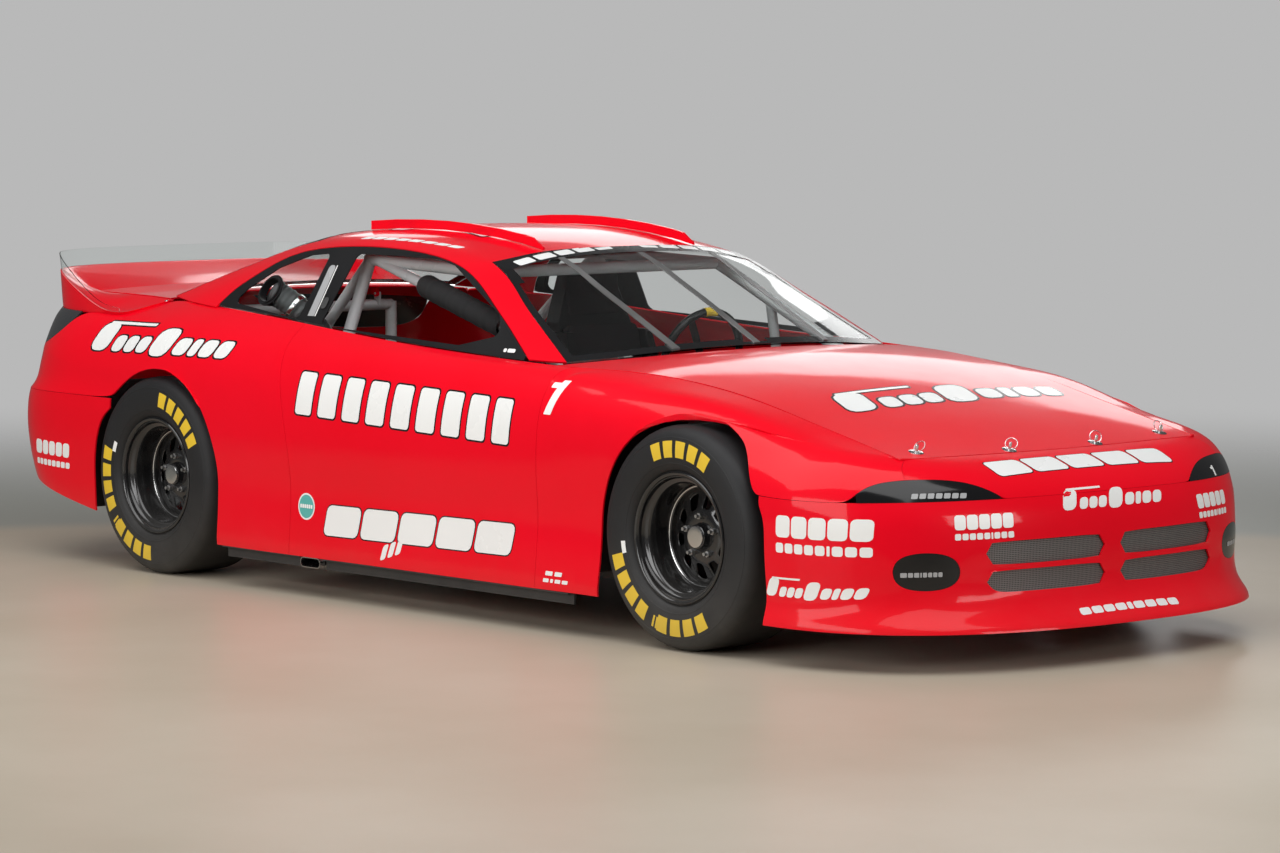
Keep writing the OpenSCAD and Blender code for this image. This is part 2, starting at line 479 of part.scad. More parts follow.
// ---- Spoiler ----
spoiler_rise = 140;
spoiler_edge = 12;
spoiler_gap_t = 0.004;
skin_f = function (u, t) skin(u, t);
lip_t = 3;
spoiler_tip = u_of(-3010);
spoiler_path = let (side = concat([for (i = [13:-1:0]) rim_stations[i]], [for (a = [40:-5:5]) a / 90 - 1]))
    concat([for (u = side) [u, -1]], [[-1, 1]], [for (i = [len(side) - 1:-1:0]) [side[i], 1]]);
function spoiler_share(u) = ease((spoiler_tip - u) / (spoiler_tip + 0.44));
function across(p, way) = sized([p.x, way > 0 ? -p.y : p.y, p.z]);
function spoiler_base(u) = skin(u, rim_level(u) + spoiler_gap_t);
function spoiler_crest(u) = let (p = spoiler_base(u), q = skin(u, top_line - 2 * gap_t))
    mix(p, q, -0.05) * [[1, 0, 0], [0, 1, 0], [0, 0, 0]] + [0, 0, p.z + mix(6, spoiler_rise, spoiler_share(u))];
function spoiler_ring(u, way) =
    let (p = spoiler_base(u), q = skin(u, top_line - 2 * gap_t), c = spoiler_crest(u),
        w = min(1, norm(q - p) / 60), in = unit([q.x - p.x, q.y - p.y, 0]), d = c + in * spoiler_edge * w,
        foot = mix(d, q, 0.45) - [0, 0, 8 * w], down = [0, 0, skin_t * w],
        ring = [for (r = [p, c, d, foot, q, q - down, p - facing(skin_f, u, rim_level(u)) * skin_t * w]) across(r, way)])
    ring;
module spoiler() color(paint) at_datum() loft([for (s = spoiler_path) spoiler_ring(s[0], s[1])]);
module spoiler_lip() color("#cfd4d2", 0.35) at_datum()
    loft([for (s = spoiler_path) if (s[0] < u_of(-3120)) let (u = s[0], c = spoiler_crest(u), p = spoiler_base(u),
        q = skin(u, top_line - 2 * gap_t), in = unit([q.x - p.x, q.y - p.y, 0]),
        a = c + in * 4 + [0, 0, fit_gap], h = mix(18, lip_h, ease((u_of(-3120) - u) / (u_of(-3120) + 0.4))),
        up = [0, 0, h] - in * h * 0.12)
        [for (r = [a, a + up, a + up + in * lip_t, a + in * lip_t]) across(r, s[1])]]);

// ---- Roof rails ----
roof_rail_t = 8;
module roof_rails() color(paint) at_datum() both()
    loft([for (w = [2.02, 2.06, 2.14, 2.25, 2.5, 2.75, 3, 3.25, 3.5, 3.75])
        let (p = sized(house(w, 2)) + [0, 0, 0.5], h = roof_rail_h * mix(0.3, 1, ease((w - 2.02) / 0.14)),
            y = [0, roof_rail_t / 2, 0], z = [0, 0, h])
            [p - y, p - y + z, p + y + z, p + y]]);

// ---- Side windows: flat sheets in the leaning plane of the side glass ----
frame_t = 4;
frame_gap = 4;
glass_lap = 12;
duct_x = -2395;
duct_z = 1020;
duct_d = 104;
duct_wall = 6;
duct_flange = 16;
duct_flange_t = 5;
lean = glass_lean * wide / tall;
lean_len = sqrt(1 + lean * lean);
function on_glass(x, z) = [x * base_scale, (z - glass_z) * tall * lean_len];
module side_sheet(t, lift = 0) translate([0, -glass_y * wide, glass_z * tall]) rotate([90 - atan(lean), 0, 0])
    translate([0, 0, lift]) linear_extrude(t) children();
module rounded(r) offset(r) offset(delta = -r) children();
module window_outline()
    polygon(concat([for (w = steps(0.1, 5.86, 28)) let (p = house_point(0, w)) on_glass(p.x, p.z - frame_gap)],
        [for (x = steps(-2630, -890, 8)) on_glass(x, side_z(top_line, x) + frame_gap)]));
module door_opening() rounded(25)
    polygon([for (p = [[-1995, 1160], [-2030, 915], [-1250, 885], [-1060, 925], [-1110, 990], [-1450, 1138], [-1560, 1158]])
        on_glass(p[0], p[1])]);
module quarter_opening() rounded(18)
    polygon([for (p = [[-2145, 1156], [-2250, 1147], [-2400, 1098], [-2525, 1022], [-2572, 972], [-2350, 948], [-2165, 930]])
        on_glass(p[0], p[1])]);
module side_window_frames() color(black) at_datum() both() side_sheet(frame_t, -frame_t) difference() {
    window_outline();
    door_opening();
    quarter_opening();
}
module quarter_windows() color("#8fa09a", 0.4) at_datum() {
    side_sheet(glass_t, -frame_t - fit_gap - glass_t) difference() {
        offset(delta = glass_lap) quarter_opening();
        translate(on_glass(duct_x, duct_z)) circle(d = duct_d + 2 * fit_gap);
    }
    mirror([0, 1, 0]) side_sheet(glass_t, -frame_t - fit_gap - glass_t) offset(delta = glass_lap) quarter_opening();
}
hose_d = 84;
hose_route = [[0, 0, 0], [30, 8, -12], [85, 45, -60], [135, 85, -130], [180, 120, -210], [215, 145, -300],
    [240, 165, -400], [250, 175, -500], [252, 180, -600], [252, 182, -690]];
module window_duct() color(black) at_datum() {
    side_sheet(30, -24) translate(on_glass(duct_x, duct_z)) difference() {
        circle(d = duct_d);
        circle(d = duct_d - 2 * duct_wall);
    }
    side_sheet(duct_flange_t, -frame_t) translate(on_glass(duct_x, duct_z)) difference() {
        circle(d = duct_d + duct_flange);
        circle(d = duct_d - 1);
    }
    start = [duct_x * base_scale, -leaned(duct_z) * wide, duct_z * tall];
    into = [0, 1, -lean] / lean_len;
    first = start + into * 24.2;
    route = [for (p = hose_route) first + into * 6 * (p.x > 0 ? 1 : 0) + p];
    loft([for (i = [0:len(route) - 1]) let (way = unit(i == 0 ? into : route[min(i + 1, len(route) - 1)] - route[i - 1]),
        s = unit(cross(way, [1, 0, 0])), r = unit(cross(way, s)))
        [for (k = [0:9]) route[i] + (s * cos(36 * k) + r * sin(36 * k)) * hose_d / 2]]);
}

// ---- Frame ----
rail_top = rail_z + rail_h;
main_y = 600;
front_y = 380;
rear_y = 440;
main_front = -470;
main_back = -2420;
rail_front = 860;
rail_back = -3700;
cross_l = 90;
outrigger_z = 190;
outrigger_h = 20;
outrigger_y = 931;
jack_places = [-640, -2260];
jack_l = 100;
jack_w = 60;
jack_t = 10;
module rail(x0, x1, y) block([x0, y - rail_w / 2, rail_z], [x1, y + rail_w / 2, rail_top]);
module frame() color("#2b2d30") at_datum() {
    both() {
        rail(main_back, main_front, main_y);
        rail(main_front - cross_l, rail_front, front_y);
        rail(rail_back, main_back + cross_l, rear_y);
        for (x = [-1250, -700, -1900])
            block([x - 25, main_y, outrigger_z], [x + 25, outrigger_y * wide, outrigger_z + outrigger_h]);
        for (x = jack_places)
            block([x - jack_l / 2, main_y - jack_w / 2, rail_z - jack_t], [x + jack_l / 2, main_y + jack_w / 2, rail_z]);
    }
    for (x = [main_front - cross_l, main_back, -1500])
        block([x, -main_y, rail_z], [x + cross_l, main_y, rail_top]);
    for (x = [-180, rail_front - 60])
        block([x, -front_y, rail_z], [x + 60, front_y, rail_top]);
    for (x = [-3100, rail_back])
        block([x, -rear_y, rail_z], [x + 60, rear_y, rail_top]);
}
floor_z = rail_top + fit_gap;
floor_top = floor_z + floor_t;
cabin_y = 700;
firewall_x = -520;
firewall_top = 800;
bulkhead_x = -2425;
bulkhead_top = 620;
hinge_pin = 10;
hinge_t = 10;
hood_hinge = [-600, 400, 838];
lid_hinge = [-3135, 350, 944];
module floor_pan() color("#5d6164") at_datum() {
    block([bulkhead_x, -cabin_y, floor_z], [firewall_x, cabin_y, floor_top]);
    block([firewall_x - floor_t, -cabin_y, floor_top], [firewall_x, cabin_y, firewall_top]);
    block([bulkhead_x, -cabin_y + 40, floor_top], [bulkhead_x + floor_t, cabin_y - 40, bulkhead_top]);
    both() {
        block([hood_hinge.x - 6, hood_hinge.y + hinge_t / 2 + 3, firewall_top - 30],
            [firewall_x - floor_t, hood_hinge.y + 1.5 * hinge_t + 3, hood_hinge.z + 6]);
        translate([hood_hinge.x, hood_hinge.y - hinge_t / 2 - 3, hood_hinge.z]) rotate([-90, 0, 0])
            cylinder(h = 2 * hinge_t + 3, d = hinge_pin);
    }
}
module hinge_lug(at, x0, x1) translate([0, at.y + hinge_t / 2, 0]) rotate([90, 0, 0]) linear_extrude(hinge_t) difference() {
    union() {
        polygon([for (x = [x0, x1]) [x, at.z], for (x = [x1, x0]) [x, lid_z(x, at.y) * tall - skin_t - 1]]);
        translate([at.x, at.z]) circle(d = hinge_pin + 14);
    }
    translate([at.x, at.z]) circle(d = hinge_pin + 2 * fit_gap);
}
module hood_lugs() both() hinge_lug(hood_hinge, hood_hinge.x - 8, hood_hinge.x + 30);
module lid_lugs() both() hinge_lug(lid_hinge, lid_hinge.x - 30, lid_hinge.x + 8);

// ---- Roll cage ----
joint_over = 12;
cage_foot = floor_top + fit_gap;
leg_low = [-700, -660];
leg_high = [-840, -660, 790];
screen_top = [-1400, -520, 1112];
hoop_low = [-2050, -640];
hoop_mid = [-2050, -640, 820];
hoop_top = [-2050, -520, 1135];
strut_end = [-3060, -440];
back_hoop_x = -3160;
dash_bar_x = -826;
back_hoop_z = 900;
door_bar_z = 540;
vent_share = 0.616;
brace_share = 0.29;
vent_top = mix(leg_high, screen_top, vent_share);
vent_low = [vent_top.x, -653, door_bar_z];
brace_top = mix(hoop_top, screen_top, 0.06);
brace_low = mix(leg_high, screen_top, brace_share);
function flat_scale(p, z) = [sized([p[0], p[1], 0]).x, sized([0, p[1], 0]).y, z];
// Each bar is a step slimmer than the ones that it runs into
slimmer = 1;
brace_d = cage_d - 6;
module side_bars() {
    leg = flat_scale(leg_low, cage_foot);
    foot = flat_scale(hoop_low, cage_foot);
    bar(leg, sized(leg_high), cage_d, joint_over);
    bar(sized(leg_high), sized(screen_top), cage_d - slimmer, joint_over);
    bar(sized(screen_top), sized(hoop_top), cage_d - 2 * slimmer, joint_over);
    bar(foot, sized(hoop_mid), cage_d, joint_over);
    bar(sized(hoop_mid), sized(hoop_top), cage_d - slimmer, joint_over);
    bar(sized(hoop_top), flat_scale(strut_end, rail_top + fit_gap), brace_d, joint_over);
    for (z = [400, door_bar_z])
        bar(sized([-2050, -640, z]), sized([mix(-700, -840, (z - 265) / 525), -660, z]), brace_d);
    back = flat_scale([back_hoop_x, -rear_y], rail_top + fit_gap);
    bar(back, [back.x, back.y, back_hoop_z * tall], cage_d, joint_over);
}
module brace_bars(extra) {
    bar(sized(brace_top), sized(brace_low), brace_d - slimmer + extra);
    for (s = [-1, 1])
        bar(sized([vent_top.x, s * vent_top.y, vent_top.z]), sized([vent_low.x, s * vent_low.y, vent_low.z]),
            brace_d - 2 * slimmer + extra);
}
module roll_cage() color("#b9bcbe") at_datum() difference() {
    union() {
        both() side_bars();
        for (p = [screen_top, hoop_top, [dash_bar_x, -660, 740], [-2050, -640, 560], [back_hoop_x, -rear_y, back_hoop_z]])
            bar(sized(p), sized([p.x, -p.y, p.z]), cage_d - 3 * slimmer);
        brace_bars(0);
        both() {
            block([back_hoop_x, lid_hinge.y + hinge_t / 2 + 3, back_hoop_z],
                [lid_hinge.x + 6, lid_hinge.y + 1.5 * hinge_t + 3, lid_hinge.z + 6]);
            translate([lid_hinge.x, lid_hinge.y - hinge_t / 2 - 3, lid_hinge.z]) rotate([-90, 0, 0])
                cylinder(h = 2 * hinge_t + 3, d = hinge_pin);
        }
    }
    block([-length, -body_w / 2, 0], [bulkhead_x, body_w / 2, rail_top + fit_gap]);
    block([bulkhead_x, -body_w / 2, 0], [0, body_w / 2, cage_foot]);
}
module cage_padding() color(black) at_datum() difference() {
    union() {
        bar(mix(sized(brace_top), sized(brace_low), 0.3), mix(sized(brace_top), sized(brace_low), 0.78), pad_d);
        bar(mix(sized(vent_top), sized(vent_low), 0.2), mix(sized(vent_top), sized(vent_low), 0.85), pad_d);
    }
    brace_bars(2 * fit_gap);
}
module engine() color("#6f7377") at_datum()
    block([-420, -260, rail_top + fit_gap], [280, 260, 690]);

// ---- Wheels ----
flange_t = 5;
barrel_t = 4;
bead_r = rim_d / 2 - 17;
well_r = rim_d / 2 - 42;
disc_at = 12;
disc_t = 7;
hub_out = 48;
hub_r = 62;
hub_in = -30;
cap_r = 36;
cap_h = 20;
half_rim = rim_w / 2;
function arc(c, r, a0, a1, n) = [for (i = [0:n]) c + r * [cos(mix(a0, a1, i / n)), sin(mix(a0, a1, i / n))]];
module rim_shape() {
    rotate_extrude() polygon([[bead_r, half_rim - 22], [bead_r, half_rim - flange_t], [rim_d / 2, half_rim - flange_t],
        [rim_d / 2, half_rim], [bead_r - barrel_t, half_rim], [bead_r - barrel_t, half_rim - 24],
        [well_r - barrel_t, 30], [well_r - barrel_t, -60], [bead_r - barrel_t, -half_rim + 24],
        [bead_r - barrel_t, -half_rim], [rim_d / 2, -half_rim], [rim_d / 2, -half_rim + flange_t],
        [bead_r, -half_rim + flange_t], [bead_r, -half_rim + 22], [well_r, -60], [well_r, 30]]);
    difference() {
        union() {
            translate([0, 0, disc_at]) cylinder(h = disc_t, r = well_r - barrel_t + 1);
            translate([0, 0, hub_in]) cylinder(h = hub_out - hub_in, r = hub_r);
        }
        for (i = [0:slots - 1]) rotate(i * 360 / slots) translate([0, 0, disc_at - 1]) {
            translate([132, 0, 0]) cylinder(h = disc_t + 2, r = 17);
            translate([96, 0, 0]) cylinder(h = disc_t + 2, r = 10);
            translate([96, -10, 0]) cube([36, 20, disc_t + 2]);
        }
        translate([0, 0, hub_in - 1]) cylinder(h = hub_out - hub_in - 8, d = bore_d);
    }
    translate([0, 0, hub_out]) cylinder(h = cap_h, r = cap_r);
}
tyre_wall = 13;
shoulder = 45;
module tyre_shape() {
    seat_r = bead_r + fit_gap;
    lip = half_rim - flange_t - fit_gap;
    half = tyre_w / 2;
    side = concat([[seat_r, lip], [rim_d / 2 + 2, lip], [rim_d / 2 + 18, half - 8], [rim_d / 2 + 50, half]],
        arc([tyre_r - shoulder, half - shoulder - 2], shoulder, 80, 0, 5));
    inside = [[tyre_r - tyre_wall, half - 58], [tyre_r - 60, half - tyre_wall - 4], [rim_d / 2 + 50, half - tyre_wall],
        [rim_d / 2 + 20, half - tyre_wall - 10], [seat_r, lip - 20]];
    rotate_extrude() polygon(concat(side, [for (i = [len(side) - 1:-1:0]) [side[i][0], -side[i][1]]],
        [for (i = [len(inside) - 1:-1:0]) [inside[i][0], -inside[i][1]]], inside));
}
// side is 1 on the left and -1 on the right; +Z of the wheel shape points outboard
module at_wheel(x, side) translate([x, side * wheel_y, tyre_r]) rotate([-side * 90, 0, 0]) children();
module rim_front_left() color(black) at_datum() at_wheel(0, 1) rim_shape();
module rim_front_right() color(black) at_datum() at_wheel(0, -1) rim_shape();
module rim_rear_left() color(black) at_datum() at_wheel(-wheelbase, 1) rim_shape();
module rim_rear_right() color(black) at_datum() at_wheel(-wheelbase, -1) rim_shape();
module tyre_front_left() color("#202123") at_datum() at_wheel(0, 1) tyre_shape();
module tyre_front_right() color("#202123") at_datum() at_wheel(0, -1) tyre_shape();
module tyre_rear_left() color("#202123") at_datum() at_wheel(-wheelbase, 1) tyre_shape();
module tyre_rear_right() color("#202123") at_datum() at_wheel(-wheelbase, -1) tyre_shape();

// ---- Axle, knuckles and suspension ----
kingpin_y = 620;
kingpin_d = 46;
low_arm_z = 190;
high_arm_z = 500;
arm_t = 15;
arm_spread = 110;
arm_root = front_y + rail_w / 2 + fit_gap;
ball_d = 56;
spindle_end = wheel_y + hub_out - 12;
module spindle(x) translate([x, 0, tyre_r]) rotate([-90, 0, 0]) children();
module knuckle() {
    translate([0, kingpin_y, low_arm_z + arm_t + fit_gap])
        cylinder(h = high_arm_z - low_arm_z - arm_t - 2 * fit_gap, d = kingpin_d);
    spindle(0) translate([0, 0, kingpin_y]) {
        cylinder(h = spindle_end - kingpin_y, d = bore_d - 2 * fit_gap);
        cylinder(h = wheel_y + hub_in - kingpin_y - 4, d = 96);
    }
    block([-130, kingpin_y - 12, low_arm_z + 40], [0, kingpin_y + 8, low_arm_z + 56]);
}
module knuckle_left() color(steel) at_datum() knuckle();
module knuckle_right() color(steel) at_datum() mirror([0, 1, 0]) knuckle();
module control_arm(z) {
    translate([0, kingpin_y, z]) cylinder(h = arm_t, d = ball_d);
    translate([0, 0, z]) linear_extrude(arm_t) for (x = [-arm_spread, arm_spread])
        polygon([[-12, kingpin_y - 8], [12, kingpin_y - 8], [x + 12, arm_root], [x - 12, arm_root]]);
}
module front_suspension() color(steel) at_datum() both() {
    control_arm(low_arm_z);
    control_arm(high_arm_z);
    block([-40, front_y - 20, rail_top + fit_gap], [40, front_y + 26, high_arm_z + arm_t]);
    block([-arm_spread - 12, front_y, high_arm_z], [arm_spread + 12, arm_root + 10, high_arm_z + arm_t]);
}
axle_d = 76;
module rear_axle() color("#3b3e42") at_datum() {
    spindle(-wheelbase) {
        translate([0, 0, -spindle_end]) cylinder(h = 2 * spindle_end, d = bore_d - 2 * fit_gap);
        translate([0, 0, -640]) cylinder(h = 1280, d = axle_d);
        for (s = [-1, 1]) translate([0, 0, s * 645 - 6]) cylinder(h = 12, d = 160);
    }
    translate([-wheelbase, 0, tyre_r]) sphere(d = 250);
    both() {
        block([-wheelbase - 50, rear_y - 30, rail_top + fit_gap], [-wheelbase + 50, rear_y + 30, tyre_r + 10]);
        block([-wheelbase + 20, 235, tyre_r - 60], [main_back - 150, 285, tyre_r - 10]);
    }
}

// ---- Cabin and small parts ----
wheel_hub = [-1330, 380, 780];
column_tilt = 15;
steer_tube = 28;
steer_hub_d = 60;
module steering_wheel() color(black) at_datum() translate(sized(wheel_hub)) rotate([0, 90 + column_tilt, 0]) {
    rotate_extrude() translate([steer_d / 2 - steer_tube / 2, 0]) circle(d = steer_tube);
    cylinder(h = 36, d = steer_hub_d);
    for (a = [90, 210, 330]) rotate(a) translate([0, -14, 2]) cube([steer_d / 2 - steer_tube / 2, 28, 5]);
}
dash_x = -847;
dash_t = 34;
module dashboard() color(black) at_datum() {
    p = sized([dash_x, 620, 660]);
    block([p.x - dash_t, -p.y, p.z], [p.x, p.y, sized([0, 0, 822]).z]);
    translate(sized(wheel_hub)) rotate([0, 90 + column_tilt, 0]) translate([0, 0, 36 + fit_gap]) cylinder(h = 500, d = 40);
}
seat_x = -1880;
seat_y = 380;
seat_top = 1090;
module seat() color(black) at_datum() translate([seat_x * base_scale, seat_y * wide, floor_top + fit_gap]) {
    half = seat_w / 2;
    top = seat_top * tall - floor_top;
    hull() {
        block([60, -half + 40, 0], [500, half - 40, 40]);
        block([20, -half + 30, 100], [520, half - 30, 130]);
    }
    hull() {
        block([20, -half + 30, 100], [110, half - 30, 140]);
        block([-90, -half + 60, top - 220], [-20, half - 60, top - 200]);
    }
    hull() {
        block([-90, -half + 60, top - 220], [-20, half - 60, top - 200]);
        block([-110, -half + 140, top - 30], [-50, half - 140, top]);
    }
    for (s = [-1, 1]) {
        hull() {
            block([30, s * half - 15 + s * -15, 60], [480, s * half + 15 + s * -15, 200]);
            block([10, s * half - 15 + s * -15, 60], [200, s * half + 15 + s * -15, 300]);
        }
        hull() {
            block([10, s * half - 15 + s * -15, 250], [150, s * half + 15 + s * -15, 300]);
            block([-80, s * half - 15 + s * -45, top - 260], [60, s * half + 15 + s * -45, top - 230]);
        }
    }
}
skirt_y = 905;
skirt_t = 8;
skirt_drop = 1.2;
skirt_front = -500;
skirt_back = -2360;
exhaust_x = -1855;
exhaust_w = 110;
exhaust_h = 34;
exhaust_z = 121;
exhaust_in = 250;
module exhaust_oval(extra) hull() for (s = [-1, 1]) translate([0, s * (exhaust_w - exhaust_h) / 2])
    circle(d = exhaust_h + extra);
module side_skirts() color(black) at_datum() difference() {
    both() {
        y = skirt_y * wide;
        edge = 140 * tall;
        block([skirt_back, y - 10, edge - skirt_drop - skirt_t / 2], [skirt_front, y + 34 * wide, edge - skirt_drop]);
        block([skirt_back, y, edge - skirt_h], [skirt_front, y + skirt_t, edge - skirt_drop - skirt_t / 2]);
    }
    block([exhaust_x - exhaust_w / 2 - 4, -1000, 0], [exhaust_x + exhaust_w / 2 + 4, 0, exhaust_z + exhaust_h]);
}
module exhaust() color("#c9ccce") at_datum() {
    translate([exhaust_x, 0, exhaust_z]) rotate([90, 0, 0]) rotate(90) translate([0, 0, exhaust_in]) linear_extrude(938 * wide - exhaust_in) difference() {
        exhaust_oval(0);
        exhaust_oval(-4);
    }
    block([exhaust_x - 20, -640, exhaust_z + exhaust_h / 2 - 1], [exhaust_x + 20, -600, rail_z - fit_gap]);
}
frame();
roll_cage();
cage_padding();
floor_pan();
engine();
front_bumper();
nose_panel();
light_covers();
grille_mesh();
hood();
fenders();
doors();
quarter_panels();
roof();
windscreen();
windscreen_strips();
rear_window();
side_window_frames();
quarter_windows();
roof_rails();
deck_lid();
spoiler();
spoiler_lip();
rear_bumper();
tail_panel();
tail_light_covers();
side_skirts();
exhaust();
seat();
steering_wheel();
dashboard();
window_duct();
rear_axle();
front_suspension();
knuckle_left();
knuckle_right();
rim_front_left();
rim_front_right();
rim_rear_left();
rim_rear_right();
tyre_front_left();
tyre_front_right();
tyre_rear_left();
tyre_rear_right();
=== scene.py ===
# %% [markdown]
# # A red stock car, looked at piece by piece
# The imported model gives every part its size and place. This script adds what the eye
# needs: smooth paintwork, glass, rubber, wire mesh, pins, rivets and stickers.
# Lengths are in metres. +X is forward, +Y the driver's left, +Z up, and the ground is z = 0.

import json
import math

import bmesh
import bpy
from mathutils import Matrix, Vector, kdtree
from mathutils.bvhtree import BVHTree
from mathutils.geometry import interpolate_bezier


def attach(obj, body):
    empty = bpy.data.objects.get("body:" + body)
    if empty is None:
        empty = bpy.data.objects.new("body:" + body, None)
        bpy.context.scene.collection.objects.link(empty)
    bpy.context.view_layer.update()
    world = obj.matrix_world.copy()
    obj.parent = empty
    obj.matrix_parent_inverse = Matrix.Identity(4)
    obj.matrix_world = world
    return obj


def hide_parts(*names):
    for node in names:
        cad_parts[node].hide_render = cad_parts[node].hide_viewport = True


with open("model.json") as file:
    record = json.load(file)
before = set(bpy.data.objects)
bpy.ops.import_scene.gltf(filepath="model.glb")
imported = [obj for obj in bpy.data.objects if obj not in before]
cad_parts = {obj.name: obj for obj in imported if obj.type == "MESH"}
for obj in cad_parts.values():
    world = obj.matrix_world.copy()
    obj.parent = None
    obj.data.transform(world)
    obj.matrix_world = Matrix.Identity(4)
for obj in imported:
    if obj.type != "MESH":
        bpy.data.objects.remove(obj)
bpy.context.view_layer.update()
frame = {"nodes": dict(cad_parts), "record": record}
scene = bpy.context.scene
AXLE = 1.44  # x of the front axle
WHEELBASE = 2.794
WHEEL_Y = 0.78  # middle of the car to the middle of a tyre
TYRE_RADIUS = 0.352
SIDES = ((-1, "right"), (1, "left"))

# %% [markdown]
# A long lens far away keeps a car's proportions calm. The camera stands off the right
# front corner at eye height and looks slightly down.

# %% Camera
camera = bpy.data.objects.new("camera", bpy.data.cameras.new("camera"))
scene.collection.objects.link(camera)
camera.location = (AXLE + 10.179, -10.020, 1.822)
camera.rotation_euler = (math.radians(85.3), 0, math.radians(48.688))
camera.data.sensor_width = 36
camera.data.lens = 125
camera.data.clip_end = 200
scene.camera = camera
print("camera at", tuple(camera.location))


# %% [markdown]
# A material is a small network of nodes. A few helpers keep the networks short. They add a
# node and wire its inputs, turn a value into colours, start a Principled material, mix in a
# second colour, turn a height into a bump, and feed the results to the shader.

# %% Helpers for node networks
def node(tree, kind, inputs=None, **settings):
    n = tree.nodes.new(kind)
    for key, value in settings.items():
        setattr(n, key, value)
    for key, value in (inputs or {}).items():
        if isinstance(value, bpy.types.NodeSocket):
            tree.links.new(value, n.inputs[key])
        else:
            n.inputs[key].default_value = value
    return n


def ramp(tree, value, *stops):
    n = node(tree, "ShaderNodeValToRGB", {"Fac": value})
    while len(n.color_ramp.elements) < len(stops):
        n.color_ramp.elements.new(0.5)
    for element, (place, shade) in zip(n.color_ramp.elements, stops):
        element.position = place
        element.color = (*shade, 1) if isinstance(shade, tuple) else (shade, shade, shade, 1)
    return n.outputs["Color"]


def principled(name, **plain):
    material = bpy.data.materials.new(name)
    material.use_nodes = True
    shader = material.node_tree.nodes["Principled BSDF"]
    for key, value in plain.items():
        shader.inputs[key.replace("_", " ")].default_value = value
    return material, material.node_tree, shader


def mixed(tree, mask, under, over):
    n = node(tree, "ShaderNodeMix", {"Factor": mask, "A": under, "B": (*over, 1)}, data_type="RGBA")
    return n.outputs["Result"]


def relief(tree, height, distance, strength=1.0):
    n = node(tree, "ShaderNodeBump", {"Height": height, "Distance": distance, "Strength": strength})
    return n.outputs["Normal"]


def feed(tree, shader, **sockets):
    for key, value in sockets.items():
        tree.links.new(value, shader.inputs[key.replace("_", " ")])


# %% [markdown]
# Effects that many finishes share are node groups with named inputs. The first gives the
# fine unevenness of any real surface: a wandering roughness and a tiny bump.

# %% Node group: uneven surface
def group(name, inputs, outputs):
    tree = bpy.data.node_groups.new(name, "ShaderNodeTree")
    for label, value in inputs.items():
        socket = tree.interface.new_socket(label, in_out="INPUT", socket_type="NodeSocketFloat")
        socket.default_value = value
    for label in outputs:
        tree.interface.new_socket(label, in_out="OUTPUT", socket_type="NodeSocketFloat")
    return tree, tree.nodes.new("NodeGroupInput"), tree.nodes.new("NodeGroupOutput")


uneven, given, result = group(
    "uneven_surface",
    {"Grain Size": 400.0, "Rough Low": 0.3, "Rough High": 0.5, "Smudge Size": 3.0},
    ["Roughness", "Height", "Smudge"])
place = node(uneven, "ShaderNodeTexCoord").outputs["Object"]
grain = node(uneven, "ShaderNodeTexNoise", {
    "Vector": place, "Scale": given.outputs["Grain Size"], "Detail": 3.0})
smudge = node(uneven, "ShaderNodeTexNoise", {
    "Vector": place, "Scale": given.outputs["Smudge Size"], "Detail": 5.0, "Roughness": 0.6})
spread = node(uneven, "ShaderNodeMapRange", {
    "Value": smudge.outputs["Fac"], "From Min": 0.35, "From Max": 0.65,
    "To Min": given.outputs["Rough Low"], "To Max": given.outputs["Rough High"]})
uneven.links.new(spread.outputs["Result"], result.inputs["Roughness"])
uneven.links.new(grain.outputs["Fac"], result.inputs["Height"])
uneven.links.new(smudge.outputs["Fac"], result.inputs["Smudge"])
print("group", uneven.name, "made")


# %% [markdown]
# Dust settles low on a car and on faces that look up. This group gives a mask that is
# strongest near the ground and is broken up by noise.

# %% Node group: road dust
dusty, given, result = group("road_dust", {"Reach": 0.35, "Amount": 0.3}, ["Mask"])
place = node(dusty, "ShaderNodeTexCoord").outputs["Object"]
height = node(dusty, "ShaderNodeSeparateXYZ", {"Vector": place}).outputs["Z"]
low = node(dusty, "ShaderNodeMapRange", {
    "Value": height, "From Min": 0.0, "From Max": given.outputs["Reach"], "To Min": 1.0, "To Max": 0.0})
patchy = node(dusty, "ShaderNodeTexNoise", {"Vector": place, "Scale": 9.0, "Detail": 6.0, "Roughness": 0.65})
both = node(dusty, "ShaderNodeMath", {0: low.outputs["Result"], 1: patchy.outputs["Fac"]},
            operation="MULTIPLY")
mask = node(dusty, "ShaderNodeMath", {0: both.outputs[0], 1: given.outputs["Amount"]},
            operation="MULTIPLY")
dusty.links.new(mask.outputs[0], result.inputs["Mask"])
print("group", dusty.name, "made")


# %% [markdown]
# Every plain finish is then one call: a colour that drifts a little darker in places, the
# uneven surface, and some dust low down.

# %% Helper: a finish built from the shared groups
DUST = (0.28, 0.26, 0.23)
RED_DUST = (0.32, 0.16, 0.12)


def use_group(tree, which, **values):
    n = tree.nodes.new("ShaderNodeGroup")
    n.node_tree = which
    for key, value in values.items():
        n.inputs[key.replace("_", " ")].default_value = value
    return n


